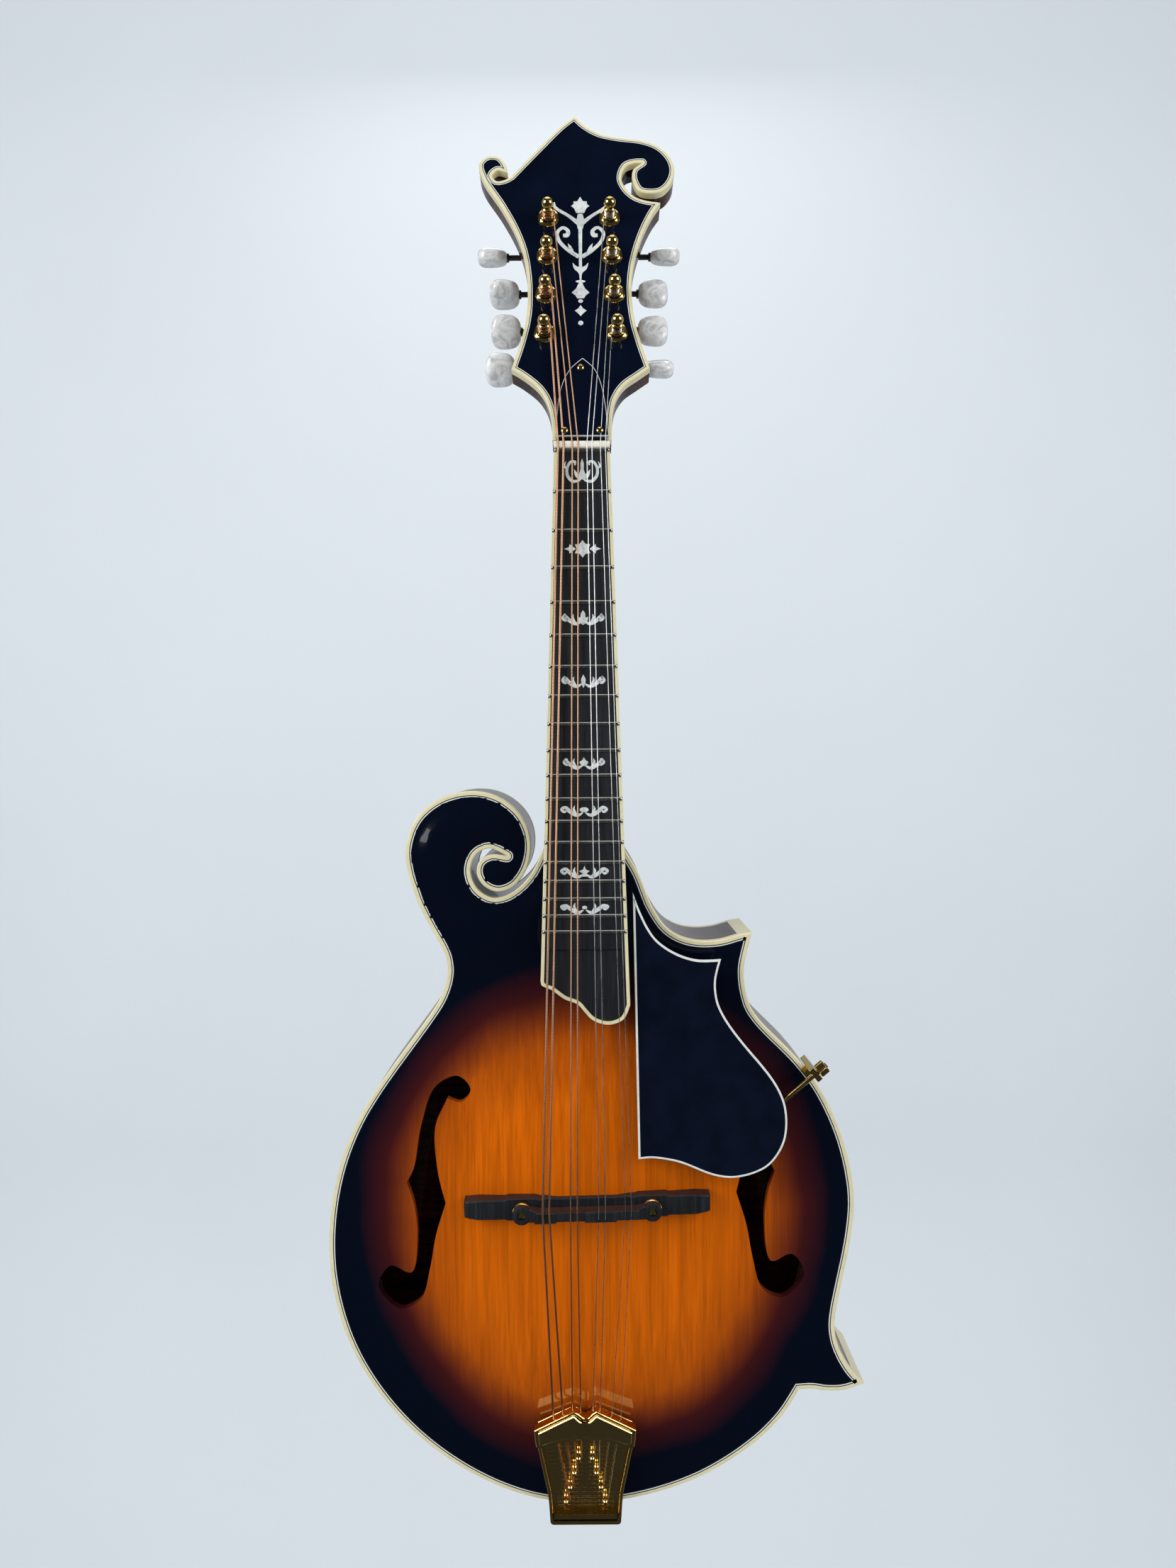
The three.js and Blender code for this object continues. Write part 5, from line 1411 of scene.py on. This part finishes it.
def string_path(i, radius):
    """One string from its peg under the hood, over saddle and nut, to its wraps round the post."""
    side = -1 if i < 4 else 1
    rank = 3 - i if i < 4 else i - 4
    peg_x, peg_z, root = tail_peg(side, rank)
    path = []
    for k in range(9):
        angle = math.pi + math.pi * k / 8
        path.append(Vector((peg_x + (1.25 + radius) * math.cos(angle), root - 2.4,
                            peg_z + (1.25 + radius) * math.sin(angle))))
    hood_x = STRING_AT_HOOD[i]
    path.append(Vector((hood_x * 0.9 + peg_x * 0.1, -12.2, -467)))
    path.append(Vector((hood_x, -13.2 - 0.1, -461)))
    x = STRING_AT_SADDLE[i]
    path.append(Vector((x + 0.4, -28.5 - radius, -357 + 2.6 + x * math.sin(math.radians(1.3)))))
    path.append(placed((STRING_AT_NUT[i], -2.6 + 0.9, 2.5), NECK))
    axis = list(tuner_axes())[POST_ORDER[i]]
    wrap = 2.35 + radius
    turns = 4 if radius > 0.25 else 6
    meet = Vector((axis["x"] - axis["side"] * wrap, -2.7, axis["z"]))
    path.append(placed(meet, HEAD))
    for k in range(1, turns * 14 + 1):
        angle = 2 * math.pi * k / 14
        spot = (axis["x"] - axis["side"] * wrap * math.cos(angle),
                -2.7 - min(3.0, k / 14 * (2 * radius + 0.12)), axis["z"] + wrap * math.sin(angle))
        path.append(placed(spot, HEAD))
    return path


def build_strings():
    nodes = [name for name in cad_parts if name.startswith("string_")]
    for i, radius in enumerate(STRING_RADII):
        finish = "bronze" if i < 4 else "steel"
        name = sorted(nodes)[i]
        bm = wire(bmesh.new(), string_path(i, radius), radius, 12)
        deliver(bm, f"{name}_wire", BODY, finish, stands_for=[name])


# ---- Parts that keep their frame shape -----------------------------------------------------------

KEPT = {
    "bare_spruce": ("top_lining", "back_lining", "tone_bar_bass", "tone_bar_treble"),
    "bare_maple": ("neck_block", "tail_block", "point_block_upper", "point_block_lower"),
    "steel": ("truss_rod",),
}
CLAMP_INWARDS = Vector((-0.77, 0, -0.64)).normalized()
CLAMP_FOOT = Vector((107.6, 0, -298.2))
CLAMP_ROD = Vector((0, -9.4, 0))
STRAP_BUTTON = Matrix.Translation((TAIL_X, RIB_HEIGHT / 2, -511.0)) @ Matrix.Rotation(math.radians(90), 4, "X")


def finish_kept_parts():
    for finish, names in KEPT.items():
        for name in names:
            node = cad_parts[name]
            node.data.materials.clear()
            node.data.materials.append(finish_named(finish))


def build_small_fittings():
    """The clamp nut of the pickguard, the truss rod's nut and the strap button."""
    along = CLAMP_INWARDS
    foot = CLAMP_FOOT + CLAMP_ROD
    nut = bmesh.new()
    count = 24
    loops = []
    across = along.cross(Vector((0, 1, 0)))
    for distance, size in ((-8.4, 0.82), (-8.0, 1.0), (-4.2, 1.0), (-3.8, 0.88)):
        loop = []
        for k in range(count * 4):
            angle = 2 * math.pi * k / (count * 4)
            reach = (3.3 - 0.14 * (1 - math.cos(count * angle))) * size
            ray = across * math.cos(angle) + Vector((0, 1, 0)) * math.sin(angle)
            loop.append(foot + along * distance + ray * reach)
        loops.append(loop)
    skin(nut, loops)
    deliver(nut, "clamp_nut", BODY, "gold_plate", "pickguard_clamp_nut", ["pickguard_clamp_nut"])

    button = turned(bmesh.new(), [(0, -9.55), (3.6, -9.5), (5.4, -9.1), (6.3, -8.3), (6.5, -7.6), (6.2, -6.8),
                                  (4.6, -6.2), (3.3, -5.4), (2.8, -3.6), (2.8, -1.2), (3.4, -0.5), (4.1, 0),
                                  (0, 0)], 40)
    deliver(button, "end_button", BODY @ STRAP_BUTTON, "gold_plate", stands_for=["strap_button"])

    hex_nut = bmesh.new()
    hexagon = [(3.8 * math.cos(a), 3.8 * math.sin(a)) for a in (math.pi * k / 3 for k in range(6))]
    skin(hex_nut, [[(x * s, y * s + ROD_DEPTH, z + 11.4) for x, y in hexagon] for z, s in
                   ((-8, 0.9), (-7.2, 1.0), (3.4, 1.0), (4, 0.93))])
    socket = wire(bmesh.new(), [(0, ROD_DEPTH, 8.4), (0, ROD_DEPTH, 20)], 2.8, 24)
    hex_nut = boolean(hex_nut, socket, "DIFFERENCE")
    bore = wire(bmesh.new(), [(0, ROD_DEPTH, -4), (0, ROD_DEPTH, 8.5)], 2.75, 24)
    hex_nut = boolean(hex_nut, bore, "DIFFERENCE")
    deliver(hex_nut, "rod_nut", NECK, "brass", "truss_rod_nut", ["truss_rod_nut"])


def build_guard_bracket():
    """The rod under the pickguard and the clamp that holds the edge of the body."""
    inwards = CLAMP_INWARDS
    across = Vector((-inwards.z, 0, inwards.x))
    foot = CLAMP_FOOT
    pieces = [wire(bmesh.new(), [foot + inwards * reach + CLAMP_ROD for reach in (-8.9, 33)], 1.3, 24)]
    for along, y, width in (((29, 35), (-15.6, -8.4), 3.0), ((-3.4, -0.6), (-11.5, 12), 3.4),
                            ((-3.4, 2.6), (-1.8, -0.3), 3.4)):
        plate = bmesh.new()
        block(plate, along, y, (-width, width))
        soften(plate, 0.35, 2)
        for vert in plate.verts:
            vert.co = foot + inwards * vert.co.x + across * vert.co.z + Vector((0, vert.co.y, 0))
        pieces.append(plate)
    bracket = pieces[0]
    for plate in pieces[1:]:
        bracket = boolean(bracket, plate, "UNION")
    deliver(bracket, "guard_bracket", BODY, "gold_plate", stands_for=["pickguard_bracket"])


# ---- Settings ------------------------------------------------------------------------------------


def colour(name, description, default):
    return bpy.props.FloatVectorProperty(name=name, description=description, default=default, subtype="COLOR",
                                         min=0.0, max=1.0, size=3)


def length(name, description, default):
    return bpy.props.FloatProperty(name=name, description=description, default=default, unit="LENGTH",
                                   min=0.0001, max=0.01, precision=5)


class MandolinSizes(bpy.types.PropertyGroup):
    """Sizes of the fine work that the frame leaves open"""

    fret_width: length("Fret width", "Width of a fret's bead across the fretboard's face", 0.0019)
    fret_height: length("Fret height", "How far a fret stands above the fretboard", 0.00095)


class MandolinColours(bpy.types.PropertyGroup):
    """Colours of the lacquer, plastic and metal"""

    burst_heart: colour("Sunburst middle", "Wood in the middle of the top", (0.66, 0.125, 0.0012))
    burst_ember: colour("Sunburst ember", "Red brown between the middle and the edge", (0.10, 0.010, 0.004))
    lacquer: colour("Lacquer", "Near black lacquer at edges and headstock", (0.0014, 0.0030, 0.0090))
    back_stain: colour("Back stain", "Stain in the figure of the back and neck", (0.085, 0.022, 0.009))
    binding: colour("Binding", "Cream of the bindings", (0.76, 0.68, 0.42))
    ebony: colour("Ebony", "Fretboard and bridge wood", (0.010, 0.012, 0.015))
    gold: colour("Gold plate", "Tailpiece, machines and screws", (0.88, 0.62, 0.22))


class MandolinStudio(bpy.types.PropertyGroup):
    """Camera and lights"""

    lens: bpy.props.FloatProperty(name="Lens", description="Focal length of the camera in millimetres",
                                  default=24.97, min=5.0, max=200.0, unit="CAMERA")
    light: bpy.props.FloatProperty(name="Light", description="Strength of the studio light", default=1.0,
                                   min=0.0, max=10.0, subtype="FACTOR")
    backdrop: colour("Backdrop", "Pale paper behind the instrument", (0.70, 0.73, 0.75))


# ---- Stage ---------------------------------------------------------------------------------------

CAMERA_PLACE = (0.00199, -0.5224, -0.145)
CAMERA_TILT = 1.5
CAMERA_ROLL = 0.006
WALL_Y = 1.15
FLOOR_Z = -1.25
FLOOR_FRONT = -5.0
WALL_TOP = 3.5
SWEEP_CURVE = 0.5
SWEEP_HALF_WIDTH = 6.0
# Name, place, size in metres and power in watts of each softbox.
SOFTBOXES = (("left", (-1.5, -1.0, 0.45), 1.1, 24), ("right", (1.5, -0.9, 0.45), 1.1, 17),
             ("top", (0, -0.1, 1.7), 1.4, 6), ("back", (0, 0.7, 1.1), 0.7, 3))


def build_stage():
    studio = bpy.context.scene.mandolin_studio
    curve = SWEEP_CURVE
    line = [(FLOOR_FRONT, FLOOR_Z), (WALL_Y - curve, FLOOR_Z)]
    line += [(WALL_Y - curve + curve * math.sin(a), FLOOR_Z + curve - curve * math.cos(a))
             for a in np.linspace(0.1, math.pi / 2, 15)]
    line += [(WALL_Y, WALL_TOP)]
    sweep = bmesh.new()
    rows = [[(x, y, z) for y, z in line] for x in (-SWEEP_HALF_WIDTH, SWEEP_HALF_WIDTH)]
    skin(sweep, rows, closed=False, caps=False)
    mesh = bpy.data.meshes.new("paper_sweep")
    sweep.to_mesh(mesh)
    sweep.free()
    mesh.shade_smooth()
    paper = Finish("studio_paper", Roughness=0.9)
    tone = paper.noise((3, 3, 3), 3.0)
    pale = tuple(studio.backdrop)
    paper.feed("Base Color", paper.ramp(tone, (0.2, tuple(c * 0.97 for c in pale)), (0.8, pale)))
    mesh.materials.append(paper.material)
    sheet = bpy.data.objects.new("paper_sweep", mesh)
    sheet.visible_glossy = False
    bpy.context.scene.collection.objects.link(sheet)

    for name, place, size, power in SOFTBOXES:
        data = bpy.data.lights.new(f"softbox_{name}", "AREA")
        data.shape = "DISK" if name == "top" else "SQUARE"
        data.size = size
        data.energy = power * studio.light
        lamp = bpy.data.objects.new(f"softbox_{name}", data)
        aim = Vector((0, 0.1, -0.2)) - Vector(place)
        lamp.matrix_world = Matrix.Translation(place) @ aim.to_track_quat("-Z", "Y").to_matrix().to_4x4()
        bpy.context.scene.collection.objects.link(lamp)

    world = bpy.data.worlds.new("studio")
    world.use_nodes = True
    nodes = world.node_tree.nodes
    direction = nodes.new("ShaderNodeTexCoord").outputs["Generated"]
    parts = nodes.new("ShaderNodeSeparateXYZ")
    shade = nodes.new("ShaderNodeMapRange")
    for socket, value in (("From Min", -0.15), ("From Max", 0.5), ("To Min", 0.04), ("To Max", 0.4)):
        shade.inputs[socket].default_value = value * (studio.light if socket.startswith("To") else 1)
    world.node_tree.links.new(direction, parts.inputs[0])
    world.node_tree.links.new(parts.outputs["Y"], shade.inputs["Value"])
    mirrored_ray = nodes.new("ShaderNodeLightPath").outputs["Is Glossy Ray"]
    strength = nodes.new("ShaderNodeMix")
    strength.inputs[2].default_value = 0.55 * studio.light
    world.node_tree.links.new(mirrored_ray, strength.inputs[0])
    world.node_tree.links.new(shade.outputs[0], strength.inputs[3])
    world.node_tree.links.new(strength.outputs[0], nodes["Background"].inputs["Strength"])
    nodes["Background"].inputs["Color"].default_value = (0.85, 0.92, 1.0, 1)
    bpy.context.scene.world = world
    bpy.context.scene.view_settings.view_transform = "Standard"


def build_camera():
    studio = bpy.context.scene.mandolin_studio
    data = bpy.data.cameras.new("camera")
    data.lens = studio.lens
    data.sensor_width = 36
    data.sensor_fit = "AUTO"
    data.clip_start = 0.01
    camera = bpy.data.objects.new("camera", data)
    tilt = math.radians(CAMERA_TILT)
    right = Vector((1, 0, -CAMERA_ROLL)).normalized()
    back = Vector((0, -math.cos(tilt), math.sin(tilt)))
    up = back.cross(right).normalized()
    right = up.cross(back)
    turn = Matrix((right, up, back)).transposed().to_4x4()
    camera.matrix_world = Matrix.Translation(CAMERA_PLACE) @ turn
    bpy.context.scene.collection.objects.link(camera)
    bpy.context.scene.camera = camera


# ---- Operators -----------------------------------------------------------------------------------


class BuildPlates(bpy.types.Operator):
    """Carve the top and back plates"""

    bl_idname = "mandolin.plates"
    bl_label = "Carved plates"

    def execute(self, context):
        build_plates()
        return {"FINISHED"}


class BuildBindings(bpy.types.Operator):
    """Bend the bindings and their purfling lines round the body"""

    bl_idname = "mandolin.bindings"
    bl_label = "Bindings"

    def execute(self, context):
        build_bindings()
        return {"FINISHED"}


class BuildRibs(bpy.types.Operator):
    """Bend the ribs, and finish the blocks and linings behind them"""

    bl_idname = "mandolin.ribs"
    bl_label = "Ribs and blocks"

    def execute(self, context):
        build_ribs()
        finish_kept_parts()
        return {"FINISHED"}


class BuildNeck(bpy.types.Operator):
    """Shape the neck with its heel and headstock core"""

    bl_idname = "mandolin.neck"
    bl_label = "Neck"

    def execute(self, context):
        build_neck()
        return {"FINISHED"}


class BuildHeadstock(bpy.types.Operator):
    """Face and bind the headstock, and cover the truss rod's pocket"""

    bl_idname = "mandolin.headstock"
    bl_label = "Headstock"

    def execute(self, context):
        build_headstock()
        return {"FINISHED"}


class BuildFretboard(bpy.types.Operator):
    """Make the bound fretboard with its frets, nut and pearl"""

    bl_idname = "mandolin.fretboard"
    bl_label = "Fretboard"

    def execute(self, context):
        build_fretboard()
        build_frets()
        build_nut()
        build_board_pearl()
        return {"FINISHED"}


class BuildMachines(bpy.types.Operator):
    """Make the eight tuning machines on their two plates"""

    bl_idname = "mandolin.machines"
    bl_label = "Tuning machines"

    def execute(self, context):
        build_posts()
        build_knobs()
        build_tuner_plates()
        return {"FINISHED"}


class BuildBridge(bpy.types.Operator):
    """Make the bridge base, saddle, wheels and posts"""

    bl_idname = "mandolin.bridge"
    bl_label = "Bridge"

    def execute(self, context):
        build_bridge_base()
        build_saddle()
        build_wheels()
        return {"FINISHED"}


class BuildTailpiece(bpy.types.Operator):
    """Make the cast tailpiece with its pegs"""

    bl_idname = "mandolin.tailpiece"
    bl_label = "Tailpiece"

    def execute(self, context):
        build_tailpiece()
        return {"FINISHED"}


class BuildPickguard(bpy.types.Operator):
    """Make the pickguard and its clamp"""

    bl_idname = "mandolin.pickguard"
    bl_label = "Pickguard"

    def execute(self, context):
        build_pickguard()
        build_guard_bracket()
        return {"FINISHED"}


class BuildStrings(bpy.types.Operator):
    """String the instrument"""

    bl_idname = "mandolin.strings"
    bl_label = "Strings"

    def execute(self, context):
        build_strings()
        return {"FINISHED"}


class BuildFittings(bpy.types.Operator):
    """Make the clamp nut, the truss rod's nut and the end button"""

    bl_idname = "mandolin.fittings"
    bl_label = "Small fittings"

    def execute(self, context):
        build_small_fittings()
        return {"FINISHED"}


class BuildStage(bpy.types.Operator):
    """Set the paper sweep, lights and camera"""

    bl_idname = "mandolin.stage"
    bl_label = "Stage"

    def execute(self, context):
        build_stage()
        build_camera()
        return {"FINISHED"}


class MandolinPanel(bpy.types.Panel):
    """Builds the mandolin a group at a time"""

    bl_label = "Scroll mandolin"
    bl_idname = "VIEW3D_PT_scroll_mandolin"
    bl_space_type = "VIEW_3D"
    bl_region_type = "UI"
    bl_category = "Mandolin"

    def draw(self, context):
        layout = self.layout
        scene = context.scene
        for group in (scene.mandolin_sizes, scene.mandolin_colours, scene.mandolin_studio):
            box = layout.box()
            for name in group.bl_rna.properties.keys():
                if name not in ("rna_type", "name"):
                    box.prop(group, name)
        for operator in OPERATORS:
            layout.operator(operator.bl_idname)


OPERATORS = (BuildPlates, BuildBindings, BuildRibs, BuildNeck, BuildHeadstock, BuildFretboard, BuildMachines,
             BuildBridge, BuildTailpiece, BuildPickguard, BuildStrings, BuildFittings, BuildStage)
CLASSES = (MandolinSizes, MandolinColours, MandolinStudio, *OPERATORS, MandolinPanel)


def register():
    for made in CLASSES:
        bpy.utils.register_class(made)
    bpy.types.Scene.mandolin_sizes = bpy.props.PointerProperty(type=MandolinSizes)
    bpy.types.Scene.mandolin_colours = bpy.props.PointerProperty(type=MandolinColours)
    bpy.types.Scene.mandolin_studio = bpy.props.PointerProperty(type=MandolinStudio)


def unregister():
    del bpy.types.Scene.mandolin_studio
    del bpy.types.Scene.mandolin_colours
    del bpy.types.Scene.mandolin_sizes
    for made in reversed(CLASSES):
        bpy.utils.unregister_class(made)


def main():
    register()
    for operator in OPERATORS:
        family, name = operator.bl_idname.split(".")
        getattr(getattr(bpy.ops, family), name)()


if __name__ == "__main__":
    main()
